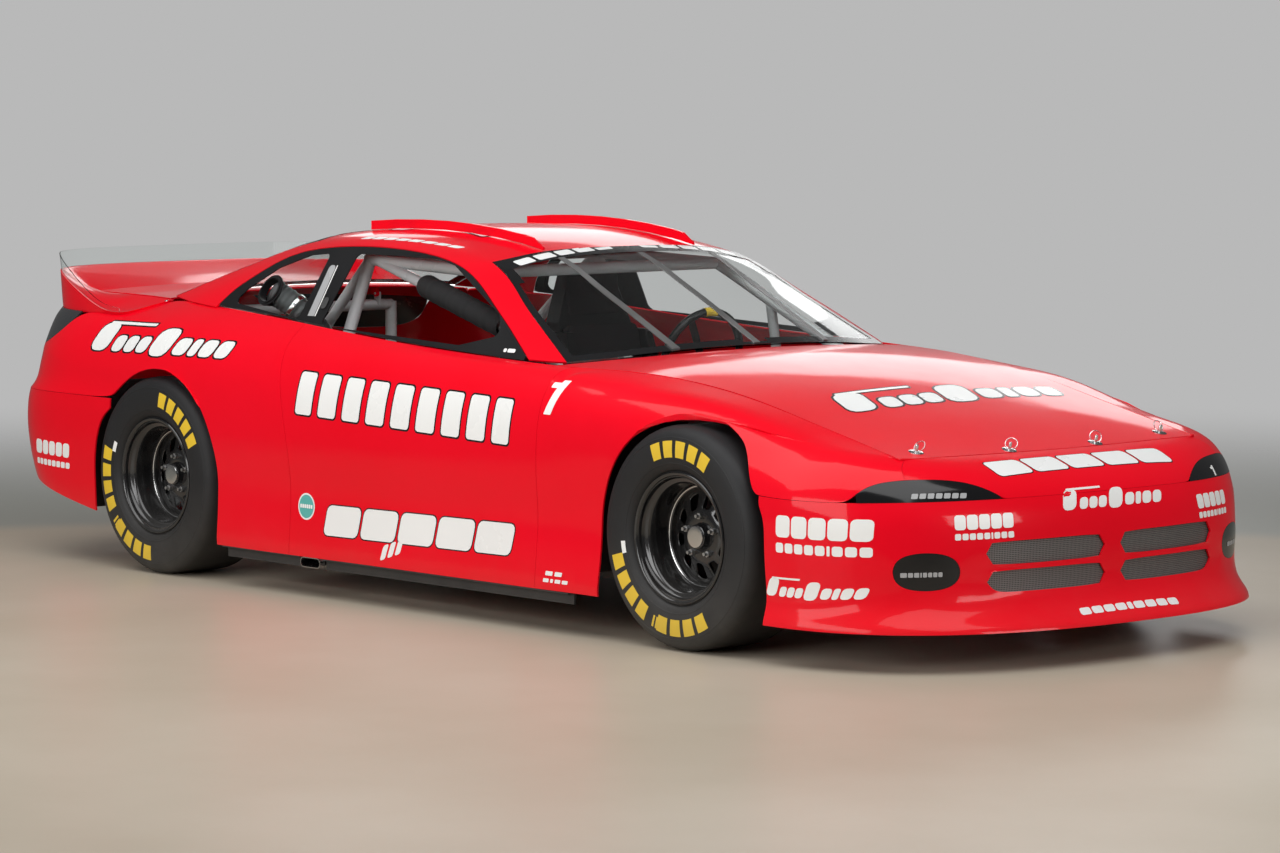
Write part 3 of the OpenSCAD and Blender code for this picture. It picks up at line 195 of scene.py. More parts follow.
def finish(name, colour, rough=(0.3, 0.5), grain=400, bump=0.0002, tint=0.06, dust=0.25, **plain):
    material, tree, shader = principled(name, **plain)
    surface = use_group(tree, uneven, Grain_Size=grain, Rough_Low=rough[0], Rough_High=rough[1])
    darker = tuple(c * (1 - tint * 2) for c in colour)
    shade = ramp(tree, surface.outputs["Smudge"], (0.3, darker), (0.7, colour))
    dirt = use_group(tree, dusty, Amount=dust)
    feed(tree, shader, Base_Color=mixed(tree, dirt.outputs["Mask"], shade, DUST),
         Roughness=surface.outputs["Roughness"], Normal=relief(tree, surface.outputs["Height"], bump))
    return material


# %% [markdown]
# Race paint is a strong flat red under a clear coat. The red sits in Base Color, and the
# Coat adds the wet second reflection. A faint orange peel bends the reflections, as on a
# hand-laid glassfibre body.

# %% Paint
paint, tree, shader = principled(
    "red_paint", Coat_Weight=0.5, Coat_Roughness=0.045, Coat_IOR=1.4, Specular_IOR_Level=0.06)
surface = use_group(tree, uneven, Grain_Size=160.0, Rough_Low=0.30, Rough_High=0.38, Smudge_Size=1.6)
shade = ramp(tree, surface.outputs["Smudge"],
             (0.3, (0.84, 0.0012, 0.012)), (0.7, (0.88, 0.0016, 0.016)))
dirt = use_group(tree, dusty, Reach=0.3, Amount=0.22)
place = node(tree, "ShaderNodeTexCoord").outputs["Object"]
waves = node(tree, "ShaderNodeTexNoise", {"Vector": place, "Scale": 5.0, "Detail": 1.0})
WAVES_OVER_GRAIN = 14.0
ripple = node(tree, "ShaderNodeMath", {
    0: waves.outputs["Fac"], 1: WAVES_OVER_GRAIN, 2: surface.outputs["Height"]}, operation="MULTIPLY_ADD")
peel = relief(tree, ripple.outputs[0], 0.00012, 0.5)
feed(tree, shader, Base_Color=mixed(tree, dirt.outputs["Mask"], shade, RED_DUST),
     Roughness=surface.outputs["Roughness"], Normal=peel, Coat_Normal=peel)
print("paint ready")

# %% [markdown]
# The other finishes are given as colour, lowest and highest roughness, grain size and depth
# of grain. Rubber and foam are rough, metals are Metallic, and stickers are thin and clean.

# %% Plain finishes
gloss_black = finish("gloss_black", (0.007, 0.007, 0.008), (0.08, 0.16), 300, 0.00002, dust=0.08,
                     Coat_Weight=0.3, Coat_Roughness=0.04, Specular_IOR_Level=0.3)
satin_black = finish("satin_black", (0.012, 0.012, 0.013), (0.3, 0.42), 700, 0.00005,
                     Specular_IOR_Level=0.3)
dark_grey = finish("dark_grey", (0.035, 0.037, 0.04), (0.2, 0.3), 400, 0.00003,
                   Coat_Weight=0.4, Coat_Roughness=0.1)
bare_metal = finish("bare_metal", (0.5, 0.5, 0.5), (0.3, 0.45), 600, 0.00005, Metallic=0.9)
frame_paint = finish("frame_paint", (0.035, 0.037, 0.04), (0.35, 0.5), 300, 0.0001)
cage_paint = finish("cage_paint", (0.55, 0.56, 0.57), (0.25, 0.4), 250, 0.0001, Coat_Weight=0.3)
pad_foam = finish("pad_foam", (0.014, 0.014, 0.015), (0.85, 0.95), 1200, 0.0004)
sheet_paint = finish("sheet_paint", (0.42, 0.43, 0.44), (0.35, 0.5), 200, 0.0001)
cast_grey = finish("cast_grey", (0.1, 0.1, 0.105), (0.5, 0.7), 260, 0.0006)
wheel_black = finish("wheel_black", (0.013, 0.013, 0.014), (0.12, 0.22), 300, 0.00004,
                     Coat_Weight=0.5, Coat_Roughness=0.08)
tyre_rubber = finish("tyre_rubber", (0.016, 0.0162, 0.0175), (0.5, 0.64), 900, 0.0002, tint=0.12,
                     Specular_IOR_Level=0.35)
skirt_rubber = finish("skirt_rubber", (0.018, 0.018, 0.019), (0.6, 0.75), 500, 0.0003)
polished = finish("polished_metal", (0.7, 0.7, 0.7), (0.12, 0.25), 400, 0.00004, Metallic=1.0)
hose_black = finish("hose_black", (0.05, 0.052, 0.055), (0.4, 0.55), 700, 0.0002)
cloth_black = finish("cloth_black", (0.02, 0.02, 0.022), (0.8, 0.95), 1500, 0.00012)
decal_white = finish("decal_white", (0.9, 0.91, 0.9), (0.25, 0.35), 300, 0.00002, tint=0.01, dust=0.05)
decal_black = finish("decal_black", (0.01, 0.01, 0.011), (0.2, 0.3), 300, 0.00002, dust=0.0)
decal_teal = finish("decal_teal", (0.12, 0.5, 0.46), (0.2, 0.3), 300, 0.00002, dust=0.05)
decal_silver = finish("decal_silver", (0.42, 0.43, 0.44), (0.2, 0.3), 300, 0.00002, dust=0.0)
decal_yellow = finish("decal_yellow", (0.86, 0.58, 0.03), (0.55, 0.7), 500, 0.0001, tint=0.08)

# %% [markdown]
# The windows are clear plastic sheet. Light passes almost straight through, so the index
# of refraction is low, and the highlights are kept up by a full specular level.

# %% Clear sheet
glass, tree, shader = principled(
    "clear_sheet", Base_Color=(0.92, 0.95, 0.94, 1), Metallic=0.0, Transmission_Weight=1.0, IOR=1.12,
    Specular_IOR_Level=1.0)
surface = use_group(tree, uneven, Grain_Size=40.0, Rough_Low=0.0, Rough_High=0.02, Smudge_Size=2.0)
feed(tree, shader, Roughness=surface.outputs["Roughness"])
print("finishes:", len(bpy.data.materials))

# %% [markdown]
# The grilles are filled with wire cloth. Two crossed sets of bands stand for the wires,
# and the dark gaps between them are drawn rather than cut; their near-black is painted
# shade for the dark space behind the cloth.

# %% Woven wire
wire_cloth, tree, shader = principled("woven_wire", Metallic=0.5, Roughness=0.45)
place = node(tree, "ShaderNodeTexCoord").outputs["Object"]
bands = [node(tree, "ShaderNodeTexWave", {"Vector": place, "Scale": 55.0, "Distortion": 0.3, "Detail": 0.0},
              bands_direction=way).outputs["Fac"] for way in ("Y", "Z")]
weave = node(tree, "ShaderNodeMath", {0: bands[0], 1: bands[1]}, operation="MAXIMUM").outputs[0]
# The near-black at the gaps is painted shade; the grey is the wires' own colour.
shade = ramp(tree, weave, (0.45, (0.015, 0.015, 0.016)), (0.8, (0.20, 0.19, 0.185)))
feed(tree, shader, Base_Color=shade, Normal=relief(tree, weave, 0.0008))
print("woven wire ready")

# %% [markdown]
# The CAD panels have few, flat faces. A copy of each is merged, its triangles joined into
# quads, and its rims creased, so that a Subdivision Surface gives one smooth skin that
# still ends in a crisp edge.


# %% Smooth copies of the body panels
def link(name, bm, material, body, smooth=None):
    mesh = bpy.data.meshes.new(name)
    bm.to_mesh(mesh)
    bm.free()
    mesh.materials.append(material)
    piece = bpy.data.objects.new(name, mesh)
    scene.collection.objects.link(piece)
    mesh.shade_smooth()
    if smooth is not None:
        mesh.set_sharp_from_angle(angle=math.radians(smooth))
    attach(piece, body)
    return piece


def body_of(node_name):
    for body, members in frame["record"]["behaviour"]["bodies"].items():
        if node_name in members:
            return body


def merged(node_name):
    bm = bmesh.new()
    bm.from_mesh(frame["nodes"][node_name].data)
    bmesh.ops.remove_doubles(bm, verts=bm.verts, dist=0.00002)
    return bm


def subdivided(piece, levels=2):
    soft = piece.modifiers.new("soft", "SUBSURF")
    soft.levels = soft.render_levels = levels


def smooth_panel(node_name, material, rim_angle=50):
    bm = merged(node_name)
    bmesh.ops.join_triangles(bm, faces=bm.faces, angle_face_threshold=math.radians(40),
                             angle_shape_threshold=math.radians(180))
    crease = bm.edges.layers.float.new("crease_edge")
    for edge in bm.edges:
        if len(edge.link_faces) != 2 or edge.calc_face_angle() > math.radians(rim_angle):
            edge[crease] = 1.0
            edge.smooth = False
    piece = link(node_name + "_skin", bm, material, body_of(node_name))
    subdivided(piece)
    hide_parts(node_name)
    return piece


panels = {}
for name in ["front_bumper", "nose_panel", "hood", "fenders", "doors", "quarter_panels", "roof",
             "deck_lid", "spoiler", "rear_bumper", "tail_panel"]:
    panels[name] = smooth_panel(name, paint)
for name, material in {
        "light_covers": gloss_black, "tail_light_covers": dark_grey, "windscreen": glass,
        "rear_window": glass, "spoiler_lip": glass, "grille_mesh": wire_cloth}.items():
    panels[name] = smooth_panel(name, material)
print("smooth panels:", sorted(panels))

# %% [markdown]
# The parts that are seen only through the windows, under the hood or below the body keep
# their CAD shape and only get a finish.

# %% Finishes on the CAD nodes that stay
kept = {
    "roof_rails": paint, "side_window_frames": satin_black, "quarter_windows": glass,
    "windscreen_strips": bare_metal, "side_skirts": skirt_rubber, "exhaust": polished,
    "window_duct": satin_black, "frame": frame_paint, "roll_cage": cage_paint, "floor_pan": sheet_paint,
    "engine": cast_grey, "seat": satin_black, "steering_wheel": satin_black, "dashboard": satin_black,
    "rear_axle": frame_paint, "front_suspension": frame_paint, "knuckle_left": bare_metal,
    "knuckle_right": bare_metal}
for name, material in kept.items():
    mesh = frame["nodes"][name].data
    mesh.materials.clear()
    mesh.materials.append(material)
print("finishes on plain parts:", len(kept))


# %% [markdown]
# Stickers are cut from flat shapes. The shapes are drawn flat, sliced into small cells,
# and then each corner is dropped straight onto the body skin, so the vinyl follows the
# curves. A wider black copy lies just under each white one and shows as an outline.

# %% Laying flat shapes on the skin
START_ABOVE, RAY_LENGTH = 0.25, 0.6  # where each corner starts its drop, and how far it may go


def at(x, y, z):
    return Vector((AXLE + x, y, z))


def dense(name):
    return panels[name].evaluated_get(bpy.context.evaluated_depsgraph_get()).to_mesh()


def skin_of(*names):
    bm = bmesh.new()
    for name in names:
        bm.from_mesh(dense(name))
    tree = BVHTree.FromBMesh(bm)
    bm.free()
    return tree


def lay(bm, tree, origin, across, up, outward, lift, cell=0.025):
    across, outward = Vector(across).normalized(), Vector(outward).normalized()
    up = Vector(up)
    up = (up - across * up.dot(across)).normalized()
    for axis in (0, 1):
        low = min(v.co[axis] for v in bm.verts)
        high = max(v.co[axis] for v in bm.verts)
        line = Vector((axis == 0, axis == 1, 0))
        for i in range(1, int((high - low) / cell) + 1):
            bmesh.ops.bisect_plane(bm, geom=bm.verts[:] + bm.edges[:] + bm.faces[:],
                                   plane_co=line * (low + i * cell), plane_no=line)
    if across.cross(up).dot(outward) < 0:
        bmesh.ops.reverse_faces(bm, faces=bm.faces)
    missed = []
    for vert in bm.verts:
        start = origin + across * vert.co.x + up * vert.co.y
        hit, normal, _, _ = tree.ray_cast(start + outward * START_ABOVE, -outward, RAY_LENGTH)
        if hit is None:
            missed.append(vert)
            continue
        vert.co = hit + (normal if normal.dot(outward) > 0 else -normal) * lift
    bmesh.ops.delete(bm, geom=missed, context="VERTS")


def add_block(bm, x, y, width, height, slant=0.0, grow=0.0, soft=0.2):
    made = bmesh.ops.create_grid(bm, x_segments=1, y_segments=1, size=0.5)["verts"]
    w, h = width + 2 * grow, height + 2 * grow
    shape = Matrix(((w, slant * h, 0, x + width / 2), (0, h, 0, y + height / 2), (0, 0, 1, 0), (0, 0, 0, 1)))
    bmesh.ops.transform(bm, matrix=shape, verts=made)
    bmesh.ops.bevel(bm, geom=made, offset=soft * min(width, height) + 0.5 * grow, affect="VERTICES",
                    segments=3, profile=0.5)


def word(bm, x, y, length, height, widths, slant=0.0, gap=0.16, soft=0.2, grow=0.0):
    unit = length / (sum(widths) + gap * (len(widths) - 1))
    for width in widths:
        add_block(bm, x, y, width * unit, height, slant, grow, soft)
        x += (width + gap) * unit


def words(*rows):
    def draw(bm, grow):
        for row in rows:
            word(bm, *row, grow=grow)
    return draw


def script(length, height):
    return words(
        (0, 0, length * 0.13, height * 1.35, [1], 0.4, 0.16, 0.35),
        (length * 0.15, 0, length * 0.27, height * 0.75, [1, 1, 1], 0.4, 0.16, 0.35),
        (length * 0.45, -height * 0.12, length * 0.14, height * 1.35, [1], 0.4, 0.16, 0.35),
        (length * 0.61, 0, length * 0.39, height * 0.8, [1, 0.6, 1, 1], 0.4, 0.16, 0.35),
        (length * 0.06, height * 1.28, length * 0.34, height * 0.14, [1], 0.4, 0.16, 0.4))


def number_one(height):
    def draw(bm, grow):
        add_block(bm, 0, 0, height * 0.26, height, 0.25, grow, 0.1)
        add_block(bm, -height * 0.15, height * 0.74, height * 0.4, height * 0.17, 0.1, grow, 0.2)
    return draw


def sticker(name, tree, body, origin, across, up, outward, draw, edge=0.006, face=decal_white, cell=0.025):
    layers = [("edge", edge, 0.0005, decal_black)] if edge else []
    for layer, grow, lift, material in layers + [("face", 0.0, 0.0010, face)]:
        bm = bmesh.new()
        draw(bm, grow)
        lay(bm, tree, origin, across, up, outward, lift, cell)
        link(f"{name}_{layer}", bm, material, body)


# %% [markdown]
# The same stickers go on both flanks. On the left they start from the front end, so that
# their slant still leans the way a reader expects. Each row of blocks is given as its
# corner, length, height, block widths, slant, gap and roundness.

# %% Stickers on the flanks
def flank(name, parts, rear_x, front_x, y, z, slope, lean, draw, **more):
    tree = skin_of(*parts)
    for side, label in SIDES:
        start = rear_x if side < 0 else front_x
        height_there = z if side < 0 else z + slope * (front_x - rear_x)
        sticker(f"{name}_{label}", tree, "shell", at(start, side * y, height_there),
                (-side, 0, -side * slope), (0, 0, 1), (0, side, lean), draw, **more)


flank("door_word", ["doors"], -1.94, -0.80, 0.93, 0.624, -0.030, 0.2,
      words((0, 0, 1.14, 0.150, [1, 1.1, 1.05, 1.1, 1.1, 1.1, 1.05, 1.05, 0.95], 0.0, 0.42, 0.14)))
flank("door_low_word", ["doors"], -1.77, -0.775, 0.94, 0.222, 0.012, 0.1,
      words((0, 0, 0.99, 0.104, [1] * 5, 0.22, 0.08, 0.22)), edge=0.004)
flank("quarter_script", ["quarter_panels"], -3.22, -2.36, 0.88, 0.775, 0.008, 0.35, script(0.84, 0.088))
flank("fender_one", ["fenders"], -0.625, -0.555, 0.90, 0.690, 0.0, 0.45, number_one(0.135), edge=0)
flank("roof_word", ["roof"], -2.07, -1.53, 0.54, 1.196, -0.01, 1.2,
      words((0, 0, 0.53, 0.036, [1, 1, 1, 1, 1.1, 1, 1, 1], 0.4, 0.14, 0.3)), edge=0, cell=0.012)
flank("side_words", ["front_bumper"], 0.452, 0.755, 0.90, 0.395, 0.0, 0.0,
      words((0, 0, 0.30, 0.066, [1] * 5, 0, 0.1, 0.25),
            (0, -0.047, 0.30, 0.030, [1, 1, 1, 1, 1, 0.3, 1, 1, 1], 0, 0.2, 0.25)), edge=0)
flank("side_script", ["front_bumper"], 0.41, 0.75, 0.90, 0.215, 0.0, -0.1, script(0.33, 0.042),
      edge=0, cell=0.015)
flank("rear_words", ["rear_bumper"], -3.56, -3.29, 0.92, 0.385, -0.02, 0.0,
      words((0, 0, 0.25, 0.052, [1.3, 1, 1, 1, 1], 0.1, 0.14, 0.3),
            (0, -0.040, 0.25, 0.022, [1] * 8, 0.1, 0.2, 0.25)), edge=0)
flank("door_foot_marks", ["doors"], -1.45, -1.34, 0.94, 0.165, 0.3, 0.0,
      words((0, 0, 0.11, 0.045, [1, 1, 1], 0.7, 0.4, 0.3)), edge=0, cell=0.02)
flank("fender_foot_marks", ["fenders"], -0.62, -0.50, 0.94, 0.165, 0.0, 0.0,
      words((0, 0, 0.12, 0.012, [1, 0.5, 1, 1], 0.2, 0.3), (0.01, 0.022, 0.08, 0.014, [1, 1], 0.2, 0.3)),
      edge=0)
print("flank stickers done")

# %% [markdown]
# The badge is three layers, each a little higher than the one below: a white disc, a teal
# disc and a row of white blocks.

# %% Round badge low on the flank
badge_skin = skin_of("doors", "quarter_panels")
for side, label in SIDES:
    for tint, material, radius, lift in (
            ("rim", decal_white, 0.046, 0.0006), ("middle", decal_teal, 0.040, 0.0010),
            ("bar", decal_white, 0.0, 0.0014)):
        bm = bmesh.new()
        if radius:
            bmesh.ops.create_circle(bm, cap_ends=True, segments=32, radius=radius)
        else:
            word(bm, -0.034, -0.006, 0.068, 0.013, [1] * 6, 0, 0.2)
        lay(bm, badge_skin, at(-1.880, side * 0.94, 0.312), (-side, 0, 0), (0, 0, 1), (0, side, 0.1), lift)
        link(f"badge_{tint}_{label}", bm, material, "shell")
print("badges done")

# %% [markdown]
# On the nose, hood and roof the stickers read from the front, so they run from the car's
# right to its left. The corner ones bend round towards the flanks.

# %% Stickers on the nose, hood and roof
nose_skin = skin_of("nose_panel", "front_bumper")
sticker("nose_word", nose_skin, "shell", at(0.862, -0.385, 0.58), (0.0, 1, 0), (-0.45, 0, 0.2),
        (0.45, 0, 0.9), words((0, 0, 0.78, 0.078, [1] * 5, -0.2, 0.08, 0.22)), edge=0.003)
sticker("nose_script", nose_skin, "shell", at(0.95, -0.19, 0.462), (0.0, 1, 0), (0, 0, 1), (1, 0, 0.3),
        script(0.44, 0.050), edge=0, cell=0.015)
for side, label in SIDES:
    start = at(0.885, -0.600, 0.425) if side < 0 else at(0.938, 0.44, 0.425)
    sticker(f"corner_words_{label}", nose_skin, "shell", start, (-side * 0.055, 0.21, 0), (0, 0, 1),
            (1, side * 0.5, 0),
            words((0, 0, 0.205, 0.044, [1] * 5, 0, 0.1, 0.25),
                  (0, -0.030, 0.205, 0.019, [1, 1, 1, 1, 1, 0.3, 1, 1, 1], 0, 0.2, 0.25)),
            edge=0, cell=0.015)
sticker("lip_word", nose_skin, "shell", at(1.03, -0.20, 0.145), (0.0, 1, 0), (-0.5, 0, 0.5), (0.9, 0, 0.9),
        words((0, 0, 0.44, 0.030, [1, 1, 1, 1, 0.5, 1, 1, 1, 1], 0.3, 0.14, 0.3)), edge=0, cell=0.012)
sticker("hood_script", skin_of("hood"), "hood", at(0.30, -0.43, 0.75), (-0.03, 1, 0), (-1, 0, 0), (0.1, 0, 1),
        script(0.98, 0.125), edge=0.008)
sticker("roof_one", skin_of("roof"), "shell", at(-1.62, -0.30, 1.24), (0, 1, 0), (-1, 0, 0), (0, 0, 1),
        number_one(0.55), edge=0.012)
cover_skin = skin_of("light_covers")
sticker("right_cover_word", cover_skin, "shell", at(0.80, -0.700, 0.518), (0.085, 0.17, 0), (0, 0, 1),
        (1, -0.8, 0.3), words((0, 0, 0.175, 0.017, [1] * 7, 0.2, 0.25, 0.2)), edge=0, cell=0.01,
        face=decal_silver)
sticker("left_cover_one", cover_skin, "shell", at(0.86, 0.60, 0.505), (-0.4, 0.8, 0), (0, 0, 1),
        (1, 0.8, 0.3), number_one(0.045), edge=0, cell=0.01)
for side, label in SIDES:
    start = at(0.80, -0.765, 0.288) if side < 0 else at(0.885, 0.625, 0.288)
    sticker(f"fog_word_{label}", cover_skin, "shell", start, (-side * 0.1, 0.17, 0), (0, 0, 1), (1, side, 0),
            words((0.015, 0, 0.13, 0.014, [1.3, 1, 1, 0.3, 0.8, 0.8, 0.8, 0.8], 0, 0.2)),
            edge=0, cell=0.01, face=decal_silver)
print("front and roof stickers done")

# %% [markdown]
# Glass on a race car has a painted black rim that hides the fixing. It is the outermost
# rows of the pane, lifted a hair above it. A dark band with white blocks crosses the top.

# %% Black rims and the banner
def outer_rim(name, panel, outward, width, lift=0.0012):
    bm = bmesh.new()
    bm.from_mesh(dense(panel))
    way = Vector(outward).normalized()
    bmesh.ops.delete(bm, geom=[f for f in bm.faces if f.normal.dot(way) < 0.5], context="FACES")
    edge_points = [v.co.copy() for v in bm.verts if v.is_boundary]
    near = kdtree.KDTree(len(edge_points))
    for i, point in enumerate(edge_points):
        near.insert(point, i)
    near.balance()
    far = [f for f in bm.faces if near.find(f.calc_center_median())[2] > width]
    bmesh.ops.delete(bm, geom=far, context="FACES")
    for vert in bm.verts:
        vert.co += vert.normal * lift
    link(name, bm, decal_black, body_of(panel))


outer_rim("windscreen_rim", "windscreen", (0.6, 0, 0.8), 0.032)
outer_rim("rear_window_rim", "rear_window", (-0.5, 0, 0.85), 0.032)
screen_skin = skin_of("windscreen")
SCREEN_UP, SCREEN_OUT = (-0.9, 0, 0.42), (0.42, 0, 0.9)
bm = bmesh.new()
add_block(bm, -0.62, -0.062, 1.24, 0.10, soft=0.1)
lay(bm, screen_skin, at(-1.30, 0, 1.187), (0, 1, 0), SCREEN_UP, SCREEN_OUT, 0.0016, 0.012)
link("windscreen_band", bm, decal_black, "shell")
for side, label in SIDES:
    bm = bmesh.new()
    word(bm, 0, 0, 0.43, 0.042, [1, 1.1, 1, 1.1, 1], 0, 0.2)
    start = at(-1.262, -0.50, 1.130) if side < 0 else at(-1.285, 0.06, 1.165)
    lay(bm, screen_skin, start, (side * 0.05, 1, -side * 0.08), SCREEN_UP, SCREEN_OUT, 0.0022, 0.012)
    link(f"windscreen_blocks_{label}", bm, decal_white, "shell")
print("glass trimmed")


# %% [markdown]
# ## Wheels
# A steel race wheel is a deep barrel with a pressed disc set far back. Each ring shape is
# a profile turned about the axle. The slots are faces taken out of the disc before it is
# thickened and smoothed, which leaves the soft edges of pressed steel.

# %% Turning a profile
def turned(bm, profile, steps, closed=False, start=0.0, sweep=360.0):
    turn = Matrix.Rotation(math.radians(start), 3, "Z")
    verts = [bm.verts.new(turn @ Vector((r, 0, z))) for r, z in profile]
    edges = [bm.edges.new(pair) for pair in zip(verts, verts[1:] + (verts[:1] if closed else []))]
    full = sweep == 360.0
    bmesh.ops.spin(bm, geom=verts + edges, cent=(0, 0, 0), axis=(0, 0, 1), angle=math.radians(sweep),
                   steps=steps, use_merge=full)


def outward_faces(bm):
    bmesh.ops.remove_doubles(bm, verts=bm.verts, dist=0.00001)
    bmesh.ops.recalc_face_normals(bm, faces=bm.faces)


barrel = [
    (0.207, 0.131), (0.207, 0.136), (0.204, 0.139), (0.199, 0.139), (0.195, 0.136), (0.192, 0.128),
    (0.1885, 0.115), (0.184, 0.110), (0.177, 0.1085), (0.172, 0.105), (0.169, 0.094), (0.167, 0.055),
    (0.166, 0.037), (0.163, 0.032), (0.158, 0.0325), (0.153, 0.030), (0.150, 0.022), (0.150, 0.010),
    (0.160, 0.0), (0.161, -0.06), (0.186, -0.112), (0.186, -0.136), (0.207, -0.136), (0.207, -0.131),
    (0.190, -0.131), (0.190, -0.112), (0.165, -0.06), (0.169, 0.030), (0.190, 0.112), (0.190, 0.131)]
dish = [
    (0.152, 0.012), (0.144, 0.0115), (0.136, 0.013), (0.122, 0.019), (0.104, 0.027), (0.088, 0.034),
    (0.076, 0.037), (0.060, 0.038), (0.040, 0.038)]
hub = [
    (0.043, 0.036), (0.043, 0.040), (0.0415, 0.0415), (0.0385, 0.058), (0.0375, 0.061), (0.034, 0.0625),
    (0.0, 0.0625)]
cap = [
    (0.034, 0.0620), (0.0345, 0.0665), (0.0335, 0.0680), (0.030, 0.0684), (0.015, 0.0686), (0.0, 0.0687)]
SLOTS, PER_SLOT = 10, 4
SLOT_FROM, SLOT_TO, SLOT_SHARE = 0.085, 0.137, 0.6
SHEET_THICK, NUTS, NUT_CIRCLE = 0.006, 5, 0.064


def wheel_place(x, side):
    flip = Matrix.Rotation(math.pi, 4, "Z") if side > 0 else Matrix.Identity(4)
    upright = Matrix.Rotation(math.radians(-side * 90), 4, "X")
    return Matrix.Translation((x, side * WHEEL_Y, TYRE_RADIUS)) @ upright @ flip


def placed(name, bm, where, material, body, smooth=35):
    outward_faces(bm)
    bmesh.ops.transform(bm, matrix=where, verts=bm.verts)
    return link(name, bm, material, body, smooth)


def make_rim(corner, where, body):
    bm = bmesh.new()
    turned(bm, barrel, 96, closed=True)
    rim = placed("barrel_" + corner, bm, where, wheel_black, body, 40)
    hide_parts("rim_" + corner)
    bm = bmesh.new()
    turned(bm, dish, SLOTS * PER_SLOT)
    gone = []
    for face in bm.faces:
        middle = face.calc_center_median()
        angle = math.degrees(math.atan2(middle.y, middle.x)) % (360 / SLOTS)
        if SLOT_FROM < middle.xy.length < SLOT_TO and angle < 360 / SLOTS * SLOT_SHARE:
            gone.append(face)
    bmesh.ops.delete(bm, geom=gone, context="FACES")
    disc = placed("disc_" + corner, bm, where, wheel_black, body, None)
    plate = disc.modifiers.new("plate", "SOLIDIFY")
    plate.thickness, plate.offset = SHEET_THICK, 0
    subdivided(disc)
    bm = bmesh.new()
    turned(bm, hub, 48)
    placed("hub_" + corner, bm, where, wheel_black, body)
    bm = bmesh.new()
    turned(bm, cap, 48)
    placed("hub_cap_" + corner, bm, where, polished, body)
    bm = bmesh.new()
    for i in range(NUTS):
        turn = Matrix.Rotation(math.radians(360 / NUTS * i + 18), 4, "Z")
        spot = turn @ Matrix.Translation((NUT_CIRCLE, 0, 0.045))
        bmesh.ops.create_cone(bm, cap_ends=True, segments=6, radius1=0.0115, radius2=0.0105, depth=0.016,
                              matrix=spot)
        bmesh.ops.create_cone(bm, cap_ends=True, segments=16, radius1=0.006, radius2=0.0055, depth=0.014,
                              matrix=spot @ Matrix.Translation((0, 0, 0.013)))
    placed("lug_nuts_" + corner, bm, where, bare_metal, body)
    # A thin polished ring on the rolled edge of the black barrel is a painted highlight: the edge is wheel
    # black, and the bright ring stands in for the light that runs along it.
    bm = bmesh.new()
    turned(bm, [(0.1600, 0.0336), (0.1580, 0.0345), (0.1558, 0.0335)], 96)
    placed("bead_painted_highlight_" + corner, bm, where, polished, body)


# %% [markdown]
# A tyre is one closed profile: the sidewall, the tread, the other sidewall and the inside.
# Moulded rings and painted yellow marks follow the bulge of the sidewall.

# %% Tyres
sidewall = [
    (0.2090, 0.1310), (0.2135, 0.1370), (0.2200, 0.1425), (0.2290, 0.1472), (0.2400, 0.1503),
    (0.2530, 0.1522), (0.2700, 0.1528), (0.2900, 0.1520), (0.3080, 0.1500), (0.3220, 0.1462),
    (0.3330, 0.1400), (0.3415, 0.1310), (0.3475, 0.1200), (0.3505, 0.1080)]


def wall_at(radius):
    for (r0, z0), (r1, z1) in zip(sidewall, sidewall[1:]):
        if r0 <= radius <= r1:
            return z0 + (z1 - z0) * (radius - r0) / (r1 - r0)


def make_tyre(corner, where, body, turn):
    tread = [(0.3520, 0.085), (0.3520, 0.0)]
    half = [(0.1905, 0.1300), (0.1985, 0.1308)] + sidewall + tread
    inside = [(0.200, -0.115), (0.335, -0.115), (0.335, 0.115), (0.200, 0.115)]
    profile = half + [(r, -z) for r, z in half[-2::-1]] + inside
    bm = bmesh.new()
    turned(bm, profile, 112, closed=True)
    tyre = placed("tyre_skin_" + corner, bm, where, tyre_rubber, body, 40)
    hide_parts("tyre_" + corner)
    bm = bmesh.new()
    ridge = ((-0.0022, -0.0002), (-0.001, 0.0009), (0.001, 0.0009), (0.0022, -0.0002))
    for r in (0.2335, 0.3145):
        turned(bm, [(r + d, wall_at(r + d) + h) for d, h in ridge], 112)
    placed("mould_rings_" + corner, bm, where, tyre_rubber, body)
    bm = bmesh.new()
    arcs = [(108 - i * 11.5, 8.4) for i in range(5)] + [(199 + i * 12.6, 9.4) for i in range(4)]
    arcs += [(249.6 + i * 3.2, 1.8) for i in range(2)] + [(258 + i * 12.6, 9.4) for i in range(4)]
    for begin, sweep in arcs:
        low, high = (0.252, 0.304) if sweep > 3 else (0.262, 0.300)
        rows = [low + (high - low) * i / 5 for i in range(6)]
        turned(bm, [(r, wall_at(r) + 0.0007) for r in rows], 6, start=begin + turn - sweep / 2, sweep=sweep)
    bmesh.ops.transform(bm, matrix=where, verts=bm.verts)
    link("tyre_marks_" + corner, bm, decal_yellow, body, 40)
    bm = bmesh.new()
    turned(bm, [(r, wall_at(r) + 0.0008) for r in (0.236, 0.244, 0.252)], 5, start=186 + turn, sweep=9)
    bmesh.ops.transform(bm, matrix=where, verts=bm.verts)
    link("tyre_label_" + corner, bm, decal_white, body, 40)


REAR_TURN = -32  # degrees the rear tyre marks stand turned from the front ones
for corner, x, side, turn in (
        ("front_left", AXLE, 1, 0), ("front_right", AXLE, -1, 0),
        ("rear_left", AXLE - WHEELBASE, 1, REAR_TURN), ("rear_right", AXLE - WHEELBASE, -1, REAR_TURN)):
    where = wheel_place(x, side)
    make_rim(corner, where, "wheel_" + corner)
    make_tyre(corner, where, "wheel_" + corner, turn)
print("wheels done")

# %% [markdown]
# ## Fittings
# Small things sell the scale: four hood pins with spring clips, rivets along the
# spoiler, tape on the steering wheel, and cushions and foam where a driver would touch.

